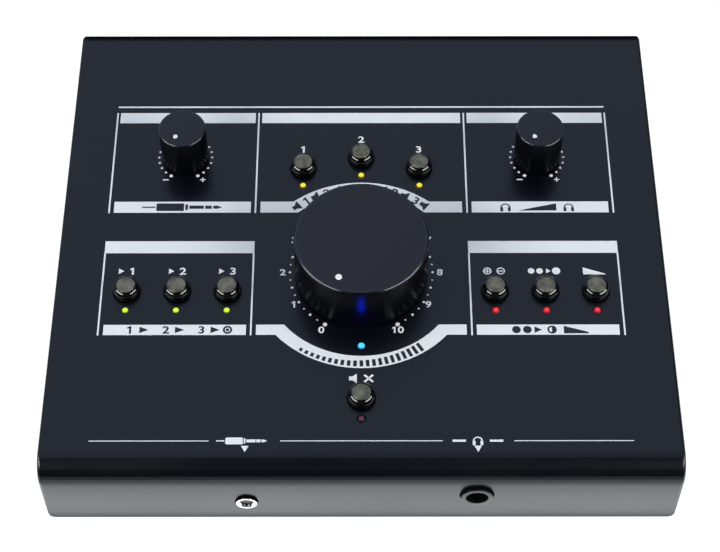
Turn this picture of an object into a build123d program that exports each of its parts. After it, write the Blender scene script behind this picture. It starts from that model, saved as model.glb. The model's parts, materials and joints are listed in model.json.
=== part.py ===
from build123d import *

import math
import os

# Studio monitor controller: a wedge-shaped desktop box with a sloping control panel.
# Millimetres and degrees.  X runs left to right, Y from front to rear, Z up.
# The origin is the centre of the footprint, on the surface that the feet stand on.

# ---------------------------------------------------------------- driving dimensions
WIDTH = 216.7  # the sheet-metal cover, side to side
PANEL_LENGTH = 191.9  # the control panel along its slope
FRONT_DROP = 32.7  # the front face, square to the panel, from its corner line down
SLOPE = 10.0  # the panel's rise towards the rear
SHEET = 1.5  # folded steel sheet
FOOT_HEIGHT = 5.0  # the rubber feet lift the tray this far
FRONT_BEND = 8.5  # outside radius of the bend between panel and front face
REAR_BEND = 2.0  # outside radius of the bend into the rear lip
EDGE_BEND = 1.3  # outside radius of the side bends and the upright corners
NOTCH_RADIUS = 3.0  # lower corners of the front face
NOTCH_OVERCUT = 0.5  # the rounding starts this far outside the corner, so it meets both edges at an angle
REAR_LIP = 8.0  # the cover's lip over the top of the rear panel
SEAM = 0.2  # free play between parts that only meet

# Control panel: u runs to the right, v up the slope from the front corner line.
MASTER_AT = (0.0, 80.0)
MASTER_DIA = 47.1
MASTER_HEIGHT = 21.7
SMALL_AT = ((-65.1, 131.4), (65.1, 131.4))
SMALL_DIA = 17.1
SMALL_HEIGHT = 17.5
KNOB_GAP = 1.0  # between a knob's skirt and the panel
DIAL_START = -150.0  # clockwise from straight up the slope, a dial's low end
MASTER_REST = -155.0  # the large knob's pointer stops a little below its dial's first mark
BUTTON_DIA = 9.9
BUTTON_HEIGHT = 4.2
BUTTON_TRAVEL = 2.0
BUTTON_PITCH = 17.8
SPEAKER_PITCH = 21.35
LED_DIA = 3.0
LED_OFFSET = 8.1  # each button's lamp, down the slope from its centre

BUTTON_AT = {
    "source_1": (-82.8, 72.0),
    "source_2": (-82.8 + BUTTON_PITCH, 72.0),
    "source_3": (-82.8 + 2 * BUTTON_PITCH, 72.0),
    "mix_1": (82.8 - 2 * BUTTON_PITCH, 72.0),
    "mix_2": (82.8 - BUTTON_PITCH, 72.0),
    "mix_3": (82.8, 72.0),
    "speaker_1": (-SPEAKER_PITCH, 126.5),
    "speaker_2": (0.0, 131.15),
    "speaker_3": (SPEAKER_PITCH, 126.5),
    "mute": (0.0, 28.5),
}
POWER_LED_AT = (0.0, 49.3)

# Front face: u to the right, w square to the panel (downwards is negative).
AUX_SOCKET_AT = (-39.1, -20.75)
PHONES_SOCKET_AT = (39.1, -16.0)
BOARD_DROP = 24.0  # upper side of the control board, under the panel's outer face
BOARD_THICK = 1.6

# Rear panel: x across, z up, in the object's own axes.
MAIN_BOARD_TOP = 14.1
JACK_RISE = 8.0  # a 6.35 mm jack's axis above its board
OUTPUT_X = (58.0, 39.5, 21.0, 2.5, -16.0)
COMBO_X = (-58.0, -88.0)
COMBO_RISE = 14.5
PHONO_X = -35.0
PHONO_RISES = (8.0, 22.0)
DC_X = 76.0
DC_RISE = 6.5
ROCKER_X = 93.0
ROCKER_Z = 27.0
ROCKER_TILT = 9.0  # each way from level; it rests switched on

# Plug sizes that the sockets take
JACK_BORE = 3.25  # radius for a 6.35 mm plug
JACK_DEPTH = 29.5  # from the panel's outer face to the end of the bore
AUX_BORE = 1.8  # radius for a 3.5 mm plug
PHONO_BARREL = 4.15  # outer radius, for a phono plug's sleeve
PHONO_PIN = 1.65  # bore radius, for its centre pin
PHONO_LENGTH = 9.0
PHONO_NECK = 3.8  # the barrel's waist, where its moulded block grips it
PHONO_SHOULDER = 1.5  # height of the waist's upper end above the panel

# ---------------------------------------------------------------- derived frame
SIN = math.sin(math.radians(SLOPE))
COS = math.cos(math.radians(SLOPE))
TRAY_Z = FOOT_HEIGHT
FRONT_Z = TRAY_Z + FRONT_DROP * COS
CASING_DEPTH = PANEL_LENGTH * COS
# The foremost point is on the front bend and the rearmost is the end of a phono barrel.
FRONT_REACH = FRONT_BEND * (COS + SIN - 1.0)
REAR_REACH = CASING_DEPTH - SHEET - SEAM + PHONO_LENGTH
FRONT_Y = -(FRONT_REACH + REAR_REACH) / 2
CASING_REAR = FRONT_Y + CASING_DEPTH
REAR_FACE = CASING_REAR - SHEET - SEAM
HALF = WIDTH / 2
INNER_HALF = HALF - SHEET
TRAY_TOP = TRAY_Z + SHEET

PANEL = Plane(origin=(0, FRONT_Y, FRONT_Z), x_dir=(1, 0, 0), z_dir=(0, -SIN, COS)).location
FRONT = Plane(origin=(0, FRONT_Y, FRONT_Z), x_dir=(1, 0, 0), z_dir=(0, -COS, -SIN)).location
REAR = Plane(origin=(0, REAR_FACE, 0), x_dir=(-1, 0, 0), z_dir=(0, 1, 0)).location
FLIP = Rot(180, 0, 0)


# ---------------------------------------------------------------- small helpers
def disc(radius, low, high):
    """Upright cylinder on the local Z axis."""
    base = (Align.CENTER, Align.CENTER, Align.MIN)
    return Pos(0, 0, low) * Cylinder(radius, high - low, align=base)


def peg(radius, low, high, sides=12):
    """Small repeated round part, drawn as a prism inside its circle to keep its faces few."""
    return Pos(0, 0, low) * extrude(RegularPolygon(radius, sides), high - low)


def hole(radius, low, high, sides=12):
    """Small repeated round hole, drawn as a prism outside its circle, clear of a matching peg."""
    return Pos(0, 0, low) * extrude(RegularPolygon(radius, sides, major_radius=False), high - low)


def flare(radius, rise, sides=8):
    """Small repeated countersink or countersunk head, from this radius up to the surface at 45 degrees."""
    mouth = RegularPolygon(radius + rise, sides, major_radius=False)
    return FLIP * extrude(mouth, rise, taper=45)


def block(x, y, z):
    """Box from three (low, high) pairs."""
    size = [pair[1] - pair[0] for pair in (x, y, z)]
    middle = [(pair[1] + pair[0]) / 2 for pair in (x, y, z)]
    return Pos(*middle) * Box(*size)


def turned(*outline):
    """Revolve a closed (radius, height) outline about Z."""
    return revolve(Plane.XZ * make_face(Polyline(*outline, close=True)), axis=Axis.Z)


def hexagon(flats, low, high):
    """Hexagon bar of this width across flats."""
    return hole(flats / 2, low, high, sides=6)


def copies(shape, places):
    """One separate solid at each place, kept together as a group."""
    return Compound([place * shape for place in places])


def on_panel(points, w=0.0):
    return [PANEL * Pos(u, v, w) for u, v in points]


# ---------------------------------------------------------------- sheet metal
def wedge(inset, drop):
    """The wedge-shaped outline, set in by inset on every walled side and longer by drop below.
    Only the outer one has rounded side edges: the folds are sharp inside."""
    front_v, top_w = inset, -inset
    rear_y = CASING_REAR - inset
    low_z = TRAY_Z - drop
    low_w = (low_z - FRONT_Z - front_v * SIN) / COS
    rear_v = (rear_y - FRONT_Y + top_w * SIN) / COS
    corners = [
        (FRONT_Y + front_v * COS - top_w * SIN, FRONT_Z + front_v * SIN + top_w * COS),
        (FRONT_Y + front_v * COS - low_w * SIN, low_z),
        (rear_y, low_z),
        (rear_y, FRONT_Z + rear_v * SIN + top_w * COS),
    ]
    side = make_face(Polyline(*corners, close=True))
    for corner, radius in ((0, FRONT_BEND - inset), (3, REAR_BEND - inset)):
        spot = Vector(*corners[corner], 0)
        nearest = min(side.vertices(), key=lambda p: (Vector(p) - spot).length)
        side = fillet(nearest, radius)
    half = HALF - inset
    solid = extrude(Plane.YZ * side, amount=half, both=True)
    if inset:
        return solid
    rims = [
        edge
        for edge in solid.edges()
        if abs(abs(edge.center().X) - half) < 0.01 and edge.center().Z > low_z + 0.1
    ]
    return fillet(rims, EDGE_BEND)


SIDE_SCREW_Y = (FRONT_Y + 40.0, FRONT_Y + 150.0)
SIDE_SCREW_Z = TRAY_Z + 7.0
SIDE_SCREWS = [
    Pos(side * HALF, y, SIDE_SCREW_Z) * Rot(0, side * 90, 0) for side in (-1, 1) for y in SIDE_SCREW_Y
]
SCREW_SHANK = 1.45
SCREW_LENGTH = 6.0
SCREW_THREAD = 1.5
SCREW_CLEAR = 1.65
HEAD_RISE = 1.25  # a countersunk head, at 45 degrees from the shank to its rim

BUTTON_SIDES = 16
BUTTON_HOLE = BUTTON_DIA / 2 + 0.3
LED_HOLE = LED_DIA / 2 + 0.1
LED_SIDES = 8
MASTER_BUSH = 4.5
SMALL_BUSH = 3.5
LED_POINTS = {name: (u, v - LED_OFFSET) for name, (u, v) in BUTTON_AT.items()}


def top_cover():
    """Panel, front face, two sides and a short rear lip, folded from one sheet and seam-welded."""
    cover = wedge(0, 0) - wedge(SHEET, 5)
    lip_low = FRONT_Z + PANEL_LENGTH * SIN - REAR_LIP
    behind = (CASING_REAR - SHEET - 1, CASING_REAR + 1)
    cover -= block((-INNER_HALF, INNER_HALF), behind, (0, lip_low))
    lamp_hole = hole(LED_HOLE, -SHEET - 1, 1, sides=LED_SIDES)
    button_hole = hole(BUTTON_HOLE, -SHEET - 1, 1, sides=BUTTON_SIDES)
    cuts = [(point, button_hole) for point in BUTTON_AT.values()]
    cuts += [(point, lamp_hole) for point in (*LED_POINTS.values(), POWER_LED_AT)]
    cuts += [(point, hole(SMALL_BUSH + 0.1, -SHEET - 1, 1)) for point in SMALL_AT]
    cuts += [(MASTER_AT, hole(MASTER_BUSH + 0.1, -SHEET - 1, 1))]
    for point, cut in cuts:
        cover -= on_panel([point])[0] * cut
    for point, radius in ((AUX_SOCKET_AT, 4.2), (PHONES_SOCKET_AT, 6.05)):
        cover -= FRONT * Pos(*point, 0) * hole(radius, -SHEET - 1, 1, sides=24)
    for place in SIDE_SCREWS:
        cover -= place * (hole(SCREW_CLEAR, -SHEET - 1, 0, sides=8) + flare(SCREW_CLEAR, HEAD_RISE - 0.1))
    # rounded lower corners of the front face, with a relief notch behind each
    reach = NOTCH_RADIUS + 0.2
    nick = block((0, reach), (0, reach), (-reach, 1))
    nick -= Pos(NOTCH_RADIUS, NOTCH_RADIUS, 0) * disc(NOTCH_RADIUS, -reach - 1, 2)
    out = HALF + NOTCH_OVERCUT
    low = FRONT_DROP + NOTCH_OVERCUT
    cover -= FRONT * Pos(-out, -low, 0) * nick
    cover -= FRONT * Pos(out, -low, 0) * mirror(nick, Plane.YZ)
    return cover


FOOT_AT = [
    (x, y) for x in (-92.0, 92.0) for y in (FRONT_Y + 24.0, CASING_REAR - 20.0)
]
REAR_FOOT_X = (-96.0, 96.0)  # screws that hold the rear panel's folded foot
REAR_FOOT_Y = REAR_FACE - SHEET - 6.0
MAIN_BOARD_Y = (REAR_FACE - SHEET - 0.6 - 74.0, REAR_FACE - SHEET - 0.6)
SPACER_AT = [
    (x, y) for x in (-98.0, 98.0) for y in (MAIN_BOARD_Y[0] + 6.0, MAIN_BOARD_Y[1] - 36.0)
]


def base_tray():
    """Bottom plate with two upturned side flanges that the cover is screwed to."""
    front_y = FRONT_Y + SHEET * COS + FRONT_DROP * SIN + SEAM
    reach_y = (front_y, REAR_FACE)
    flange = 14.0
    tray = block((-INNER_HALF, INNER_HALF), reach_y, (TRAY_Z, TRAY_TOP))
    for side in (-1, 1):
        across = sorted((side * INNER_HALF, side * (INNER_HALF - SHEET)))
        upright = (front_y + 4.0, REAR_FACE - SHEET - SEAM)
        tray += block(across, upright, (TRAY_Z, TRAY_Z + flange))
    outer = [
        edge
        for edge in tray.edges().filter_by(Axis.Y)
        if abs(edge.center().Z - TRAY_Z) < 0.01 and abs(abs(edge.center().X) - INNER_HALF) < 0.01
    ]
    tray = fillet(outer, SHEET - 0.4)
    for x, y in FOOT_AT:
        tray -= Pos(x, y, 0) * hole(SCREW_THREAD, TRAY_Z - 1, TRAY_TOP + 1, sides=6)
    for x, y in SPACER_AT:
        tray -= Pos(x, y, 0) * hole(SCREW_THREAD, TRAY_Z - 1, TRAY_TOP + 1, sides=6)
    for x in REAR_FOOT_X:
        tray -= Pos(x, REAR_FOOT_Y, 0) * hole(SCREW_CLEAR, TRAY_Z - 1, TRAY_TOP + 1, sides=6)
    for place in SIDE_SCREWS:
        tray -= place * hole(SCREW_THREAD, -4, 1, sides=6)
    return tray


ROCKER_CUT = (12.9, 19.2)
COMBO_SCREWS = ((-9.5, 12.0), (9.5, -12.0))


def rear_panel():
    """Upright plate with the connector cut-outs and a folded foot on the tray."""
    top = FRONT_Z + (PANEL_LENGTH - 1.0) * SIN - SHEET - 1.0
    half = INNER_HALF - SEAM
    plate = block((-half, half), (REAR_FACE - SHEET, REAR_FACE), (TRAY_TOP, top))
    inner = INNER_HALF - SHEET - SEAM
    foot = (REAR_FACE - SHEET - 12.0, REAR_FACE)
    plate += block((-inner, inner), foot, (TRAY_TOP, TRAY_TOP + SHEET))
    heel = [
        edge
        for edge in plate.edges().filter_by(Axis.X)
        if abs(edge.center().Z - TRAY_TOP) < 0.01 and abs(edge.center().Y - REAR_FACE) < 0.01
    ]
    plate = fillet(heel, 1.4)
    holes = [(x, MAIN_BOARD_TOP + JACK_RISE, 6.1) for x in OUTPUT_X]
    holes += [(x, MAIN_BOARD_TOP + COMBO_RISE, 12.0) for x in COMBO_X]
    holes += [(PHONO_X, MAIN_BOARD_TOP + rise, 5.2) for rise in PHONO_RISES]
    holes += [(DC_X, MAIN_BOARD_TOP + DC_RISE, 4.3)]
    for x, z, radius in holes:
        plate -= REAR * Pos(-x, z, 0) * hole(radius, -SHEET - 1, 1, sides=16)
    for x in COMBO_X:
        for across, up in COMBO_SCREWS:
            spot = Pos(-x + across, MAIN_BOARD_TOP + COMBO_RISE + up, 0)
            plate -= REAR * spot * hole(SCREW_CLEAR, -SHEET - 1, 1, sides=6)
    wide, tall = ROCKER_CUT
    plate -= REAR * Pos(-ROCKER_X, ROCKER_Z, 0) * Box(wide, tall, 4 * SHEET)
    for x in REAR_FOOT_X:
        plate -= Pos(x, REAR_FOOT_Y, TRAY_TOP) * hole(SCREW_THREAD, -1, SHEET + 1, sides=6)
    return plate


# ---------------------------------------------------------------- feet and fasteners
FOOT_SEAT = 3.2  # height of the screw's seat inside a foot


def rubber_feet():
    """Tapered feet, each with a recess for its screw's head."""
    foot = Pos(0, 0, FOOT_HEIGHT) * FLIP * extrude(RegularPolygon(8.0, 16), FOOT_HEIGHT, taper=14)
    foot -= hole(3.2, -1, FOOT_SEAT) + hole(SCREW_CLEAR, 0, FOOT_HEIGHT + 1, sides=6)
    return copies(foot, [Pos(x, y, 0) for x, y in FOOT_AT])


PILLAR_AT = [(side * 99.0, v) for side in (-1, 1) for v in (12.0, 138.0)]
COMBO_FLANGE = 2.0


def pan_screws():
    """M3 x 6 pan-head machine screws: feet, boards, rear panel foot and combination sockets."""
    screw = peg(SCREW_SHANK, -SCREW_LENGTH, 0, sides=6) + peg(2.8, 0, 2.0, sides=8)
    places = [Pos(x, y, FOOT_SEAT) * FLIP for x, y in FOOT_AT]
    places += [Pos(x, y, MAIN_BOARD_TOP) for x, y in SPACER_AT]
    places += [Pos(x, REAR_FOOT_Y, TRAY_Z) * FLIP for x in REAR_FOOT_X]
    places += [place * FLIP for place in on_panel(PILLAR_AT, -BOARD_DROP - BOARD_THICK)]
    for x in COMBO_X:
        for across, up in COMBO_SCREWS:
            spot = Pos(-x + across, MAIN_BOARD_TOP + COMBO_RISE + up, COMBO_FLANGE)
            places.append(REAR * spot)
    return copies(screw, places)


def cover_screws():
    """M3 countersunk screws, flush in the cover's sides."""
    screw = flare(SCREW_SHANK, HEAD_RISE) + peg(SCREW_SHANK, -5, -HEAD_RISE, sides=6)
    return copies(screw, SIDE_SCREWS)


def board_pillars():
    """Threaded hexagon pillars: long ones hang the control board, short ones carry the main board."""
    thread = hole(SCREW_THREAD, -BOARD_DROP - 1, -BOARD_DROP + 8, sides=6)
    long_one = hexagon(5.5, -BOARD_DROP, -SHEET) - thread
    low, high = TRAY_TOP, MAIN_BOARD_TOP - BOARD_THICK
    short_one = hexagon(5.5, low, high) - hole(SCREW_THREAD, low - 1, high + 1, sides=6)
    short_ones = [Pos(x, y, 0) * short_one for x, y in SPACER_AT]
    return Compound([place * long_one for place in on_panel(PILLAR_AT)] + short_ones)


# ---------------------------------------------------------------- boards
CONTROL_BOARD_V = (3.5, 144.0)
BOARD_HALF = 103.5


def control_board():
    board = block((-BOARD_HALF, BOARD_HALF), CONTROL_BOARD_V, (-BOARD_DROP - BOARD_THICK, -BOARD_DROP))
    for u, v in PILLAR_AT:
        board -= Pos(u, v, 0) * hole(SCREW_CLEAR, -BOARD_DROP - 3, -BOARD_DROP + 1, sides=6)
    return PANEL * board


def main_board():
    board = block((-102.0, 102.0), MAIN_BOARD_Y, (MAIN_BOARD_TOP - BOARD_THICK, MAIN_BOARD_TOP))
    for x, y in SPACER_AT:
        board -= Pos(x, y, MAIN_BOARD_TOP) * hole(SCREW_CLEAR, -3, 1, sides=6)
    return board


RIBBON_FROM = (FRONT_Y + 74.0, 16.2)
RIBBON_TO = (MAIN_BOARD_Y[0] + 10.0, MAIN_BOARD_TOP + 8.0)
RIBBON_HALF = 13.0
RIBBON_THICK = 0.9


def ribbon_cable():
    """Flat cable between the two boards, clamped in the connector at each end."""
    (y0, z0), (y1, z1) = RIBBON_FROM, RIBBON_TO
    run = (y1 - y0) / 3
    path = FilletPolyline((y0, z0), (y0 + run, z0), (y1 - run, z1), (y1, z1), radius=14)
    strip = make_face(offset(path, RIBBON_THICK / 2, side=Side.BOTH))
    cable = extrude(Plane.YZ * strip, amount=RIBBON_HALF, both=True)
    return cable & block((-99, 99), (y0, y1), (0, 99))


def board_components():
    """Connectors, reservoir capacitors and amplifier chips."""
    half = RIBBON_HALF + 1.5
    clamp = RIBBON_THICK / 2
    y0, z0 = RIBBON_FROM
    board_v = (y0 - 4.0 - FRONT_Y) / COS
    plug = block((-half, half), (y0 - 8.0, y0), (z0 - 2.5, z0 + 2.0))
    stem = block((-half, half), (-4.0, 4.0), (-4.6, 0))
    upper = PANEL * Pos(0, board_v - 4.6, -BOARD_DROP - BOARD_THICK) * stem
    y1, z1 = RIBBON_TO
    lower = block((-half, half), (y1, y1 + 8.0), (MAIN_BOARD_TOP, z1 + clamp + 1.0))
    parts = [plug + upper, lower]
    can = peg(4, 0, 12)
    row = MAIN_BOARD_Y[0] + 14.0
    parts += [Pos(x, row, MAIN_BOARD_TOP) * can for x in (62.0, 74.0, 86.0)]
    chip = Box(10, 6, 3.2, align=(Align.CENTER, Align.CENTER, Align.MIN))
    parts += [Pos(x, row + 10, MAIN_BOARD_TOP) * chip for x in (-80.0, -60.0, -40.0, 40.0)]
    return Compound(parts)


# ---------------------------------------------------------------- controls under the panel
POT_TOP = -SHEET - 2.0
BUSH_TOP = 4.0
SHAFT_RADIUS = 3.0
SHAFT_LOW = -15.0


def potentiometer(half, bush):
    """Stacked rotary control: square body and threaded bush, bored for its shaft."""
    body = block((-half, half), (-half, half), (-BOARD_DROP, POT_TOP))
    body = chamfer(body.edges().filter_by(Axis.Z), 1.5) + peg(bush, POT_TOP, BUSH_TOP)
    return body - hole(SHAFT_RADIUS + 0.05, SHAFT_LOW - 0.5, BUSH_TOP + 1)


def potentiometers():
    """The large volume control and the two small level controls."""
    small = potentiometer(8.5, SMALL_BUSH)
    large = potentiometer(13.0, MASTER_BUSH)
    small_ones = [place * small for place in on_panel(SMALL_AT)]
    return Compound([*small_ones, on_panel([MASTER_AT])[0] * large])


def pot_nuts():
    large = hexagon(13.0, 0, 2.2) - hole(MASTER_BUSH, -1, 4)
    small = hexagon(10.0, 0, 2.0) - hole(SMALL_BUSH, -1, 4)
    small_ones = [place * small for place in on_panel(SMALL_AT)]
    return Compound([*small_ones, on_panel([MASTER_AT])[0] * large])


SWITCH_TOP = -12.0
STEM_LOW = -15.0
STEM_HALF = 1.75


def switch_bodies():
    """Square push switches, each with a square well for its button's stem."""
    body = block((-4.25, 4.25), (-4.25, 4.25), (-BOARD_DROP, SWITCH_TOP))
    well = (-STEM_HALF - 0.25, STEM_HALF + 0.25)
    body -= block(well, well, (STEM_LOW - BUTTON_TRAVEL - 0.5, SWITCH_TOP + 1))
    return copies(body, on_panel(BUTTON_AT.values()))


LED_LOW = -5.4
LED_TOP = 0.4


def led_spacers():
    """Square standoffs that hold the lamps up to the panel."""
    post = block((-2, 2), (-2, 2), (-BOARD_DROP, LED_LOW))
    return copies(post, on_panel([*LED_POINTS.values(), POWER_LED_AT]))


def lamp():
    """3 mm lamp with a domed top that ends just above the panel."""
    radius = LED_DIA / 2
    shoulder = -0.5
    dome = extrude(RegularPolygon(radius, LED_SIDES), LED_TOP - shoulder, taper=40)
    return peg(radius, LED_LOW, shoulder, sides=LED_SIDES) + Pos(0, 0, shoulder) * dome


def lamps(names):
    return copies(lamp(), on_panel([LED_POINTS[name] for name in names]))


# ---------------------------------------------------------------- front sockets
def jack(nose, high):
    """Board-mounted 6.35 mm jack: a block behind the panel, a round nose through it, and the plug's
    bore up to the end of the nose."""
    body = block((-7.75, 7.75), (-JACK_RISE, high), (-31.5, -SHEET - SEAM)) + nose
    return body - disc(JACK_BORE, -JACK_DEPTH, 9)


PHONES_NOSE = 1.5


def phones_socket():
    """The headphone jack, with a round nose through the front face and a widened mouth."""
    body = jack(peg(5.4, -SHEET - SEAM, PHONES_NOSE, sides=24), high=6.0)
    low = PHONES_NOSE - 0.8
    body -= turned((0, low), (JACK_BORE, low), (JACK_BORE + 0.55, PHONES_NOSE), (0, PHONES_NOSE))
    return FRONT * Pos(*PHONES_SOCKET_AT, 0) * body


AUX_NOSE = 1.25
AUX_RISE = BOARD_DROP + AUX_SOCKET_AT[1]


def aux_socket():
    body = block((-5.5, 5.5), (-AUX_RISE, AUX_RISE), (-15.0, -SHEET - SEAM))
    body -= disc(AUX_BORE, -14.0, 1)
    return FRONT * Pos(*AUX_SOCKET_AT, 0) * body


def aux_socket_ring():
    """Plated bush at the mouth of the 3.5 mm socket."""
    low = -SHEET - SEAM
    bevel = (AUX_BORE, AUX_NOSE - 0.5), (AUX_BORE + 0.4, AUX_NOSE)
    mouth = turned((0, low), (AUX_BORE, low), *bevel, (0, AUX_NOSE))
    ring = peg(3.65, low, AUX_NOSE, sides=24) - mouth
    return FRONT * Pos(*AUX_SOCKET_AT, 0) * ring


# ---------------------------------------------------------------- rear connectors
JACK_NOSE = 5.9
JACK_REACH = 3.6
OUTPUT_PLACES = [REAR * Pos(-x, MAIN_BOARD_TOP + JACK_RISE, 0) for x in OUTPUT_X]


def output_jacks():
    nose = peg(JACK_NOSE, -SHEET - SEAM, JACK_REACH, sides=16)
    return copies(jack(nose, high=7.5), OUTPUT_PLACES)


def output_jack_nuts():
    nut = hexagon(15.0, 0, 2.2) - hole(JACK_NOSE, -1, 4, sides=16)
    return copies(nut, OUTPUT_PLACES)


COMBO_FACE = 3.4


def combo_sockets():
    """Combination sockets: a flange outside the panel, the annular slot for a locking plug,
    three contact holes and a jack bore in the middle."""
    flange = chamfer(block((-13, 13), (-15.5, 15.5), (0, COMBO_FLANGE)).edges().filter_by(Axis.Z), 2)
    body = flange + peg(11.8, -24, COMBO_FACE, sides=16)
    body += block((-11.5, 11.5), (-COMBO_RISE, 0), (-24, -4))
    body -= hole(9.6, -14, COMBO_FACE + 1, sides=16)
    body += peg(8.0, -15, COMBO_FACE - 0.8, sides=16)
    body -= disc(JACK_BORE, -22, COMBO_FACE + 1)
    for angle in (30, 150, 270):
        contact = Rot(0, 0, angle) * Pos(5.7, 0, 0)
        body -= contact * hole(1.2, -10, COMBO_FACE + 1, sides=6)
    for across, up in COMBO_SCREWS:
        body -= Pos(across, up, 0) * hole(SCREW_CLEAR, -1, COMBO_FLANGE + 1, sides=6)
    places = [REAR * Pos(-x, MAIN_BOARD_TOP + COMBO_RISE, 0) for x in COMBO_X]
    return copies(body, places)


PHONO_PLACES = [REAR * Pos(-PHONO_X, MAIN_BOARD_TOP + rise, 0) for rise in PHONO_RISES]


def phono_block():
    """Moulded block that carries the two phono barrels one above the other."""
    low, high = MAIN_BOARD_TOP, MAIN_BOARD_TOP + PHONO_RISES[1] + 7.0
    body = REAR * block((-PHONO_X - 6.5, -PHONO_X + 6.5), (low, high), (-12, -SHEET - SEAM))
    for place in PHONO_PLACES:
        body += place * peg(5.1, -2, 1.2, sides=16)
        body -= place * hole(PHONO_NECK, -10, 2, sides=16)
    return body


def phono_barrels():
    """Plug sleeves go over these barrels and centre pins into them.  A waist passes the moulded block."""
    waist = peg(PHONO_NECK, -9, PHONO_SHOULDER, sides=16)
    barrel = waist + disc(PHONO_BARREL, PHONO_SHOULDER, PHONO_LENGTH)
    return copies(barrel - disc(PHONO_PIN, -8, PHONO_LENGTH + 1), PHONO_PLACES)


def dc_inlet():
    """Low-voltage inlet: a round mouth with its centre contact pin."""
    body = block((-4.7, 4.7), (-DC_RISE, 5.0), (-14, -SHEET - SEAM))
    body += peg(4.1, -2, 0.4, sides=16)
    body -= hole(3.15, -10, 1, sides=16)
    body += peg(1.0, -11, -1.0)
    return REAR * Pos(-DC_X, MAIN_BOARD_TOP + DC_RISE, 0) * body


ROCKER_FLANGE = 1.5
ROCKER_PIVOT = ROCKER_FLANGE - 3.0
ROCKER_HALF = (5.2, 7.9)
ROCKER_PLACE = REAR * Pos(-ROCKER_X, ROCKER_Z, 0)


def rocker_frame():
    """Snap-in frame of the power switch: a flange, a box behind the panel and pivot holes."""
    wide, tall = ROCKER_CUT
    flange = ((-wide / 2 - 1.1, wide / 2 + 1.1), (-tall / 2 - 1.1, tall / 2 + 1.1), (0, ROCKER_FLANGE))
    frame = chamfer(block(*flange).edges().filter_by(Axis.Z), 0.8)
    frame += block((-wide / 2 + 0.1, wide / 2 - 0.1), (-tall / 2 + 0.1, tall / 2 - 0.1), (-15, 0))
    cavity = (ROCKER_HALF[0] + 0.3, ROCKER_HALF[1] + 0.6)
    frame -= block((-cavity[0], cavity[0]), (-cavity[1], cavity[1]), (-12, ROCKER_FLANGE + 1))
    reach = cavity[0] + 0.4
    pivot = Rot(0, 90, 0) * hole(1.05, -reach, reach)
    return ROCKER_PLACE * (frame - Pos(0, 0, ROCKER_PIVOT) * pivot)


def power_rocker():
    """Rocker with a shallow valley across its face, tilted to its switched-on side."""
    across, reach = ROCKER_HALF
    side = [(-reach, -1.5), (-reach, 5.0), (0, 3.4), (reach, 5.0), (reach, -1.5), (2.5, -5), (-2.5, -5)]
    face = make_face(Polyline(*side, close=True))
    key = extrude(Plane.YZ * face, amount=across, both=True)
    key += Rot(0, 90, 0) * peg(1.0, -across - 0.6, across + 0.6)
    return ROCKER_PLACE * Pos(0, 0, ROCKER_PIVOT) * Rot(ROCKER_TILT, 0, 0) * key


# ---------------------------------------------------------------- knobs
HUB_LOW = 5.4
POINTER_DEPTH = 0.5


def pointer_place(radius, rest):
    """A spot on a knob's top face, at the low end of its turn."""
    angle = math.radians(90 - rest)
    return Pos(radius * math.cos(angle), radius * math.sin(angle), 0)


def spindle(top):
    """Control shaft, from inside its control up into the knob's hub."""
    return peg(SHAFT_RADIUS, SHAFT_LOW, top)


def knob(sides, diameter, height, wall, crown, hub, rim, dot, dot_radius, rest):
    """Hollow knob with a bored hub, a bevelled rim and a pocket for its pointer dot."""
    radius = diameter / 2
    ceiling = height - crown
    body = peg(radius, KNOB_GAP, height, sides=sides)
    body = chamfer(body.faces().sort_by(Axis.Z)[-1].edges(), rim)
    body -= peg(radius - wall, 0, ceiling, sides=16)
    body += peg(hub, HUB_LOW, ceiling) - hole(SHAFT_RADIUS, HUB_LOW - 1, ceiling)
    return body - pointer_place(dot_radius, rest) * hole(dot / 2, height - POINTER_DEPTH, height + 1)


def pointer_dot(height, dot, dot_radius, rest):
    """White disc set flush in the knob's top."""
    return pointer_place(dot_radius, rest) * peg(dot / 2, height - POINTER_DEPTH, height)


MASTER = dict(sides=72, diameter=MASTER_DIA, height=MASTER_HEIGHT, wall=2.6, crown=4.0, hub=7.0, rim=0.7)
SMALL = dict(sides=36, diameter=SMALL_DIA, height=SMALL_HEIGHT, wall=1.8, crown=3.5, hub=4.6, rim=0.5)
MASTER_DOT = dict(dot=2.45, dot_radius=18.2, rest=MASTER_REST)
SMALL_DOT = dict(dot=1.76, dot_radius=4.4, rest=DIAL_START)
KNOBS = {
    "master": (MASTER_AT, MASTER, MASTER_DOT),
    "aux": (SMALL_AT[0], SMALL, SMALL_DOT),
    "phones": (SMALL_AT[1], SMALL, SMALL_DOT),
}


# ---------------------------------------------------------------- buttons
CAP_LOW = -4.0
CAP_TOP = BUTTON_HEIGHT - 0.25
SHOULDER = 1.2
INSERT_RADIUS = 3.55


def button_cap():
    """Glossy round cap with a bevelled shoulder and a square stem into its switch."""
    cap = peg(BUTTON_DIA / 2, CAP_LOW, CAP_TOP, sides=BUTTON_SIDES)
    cap = chamfer(cap.faces().sort_by(Axis.Z)[-1].edges(), SHOULDER)
    stem = (-STEM_HALF, STEM_HALF)
    return cap + block(stem, stem, (STEM_LOW, CAP_LOW))


def button_insert():
    """Spun metal disc on top of the cap."""
    return peg(INSERT_RADIUS, CAP_TOP, BUTTON_HEIGHT)


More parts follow.
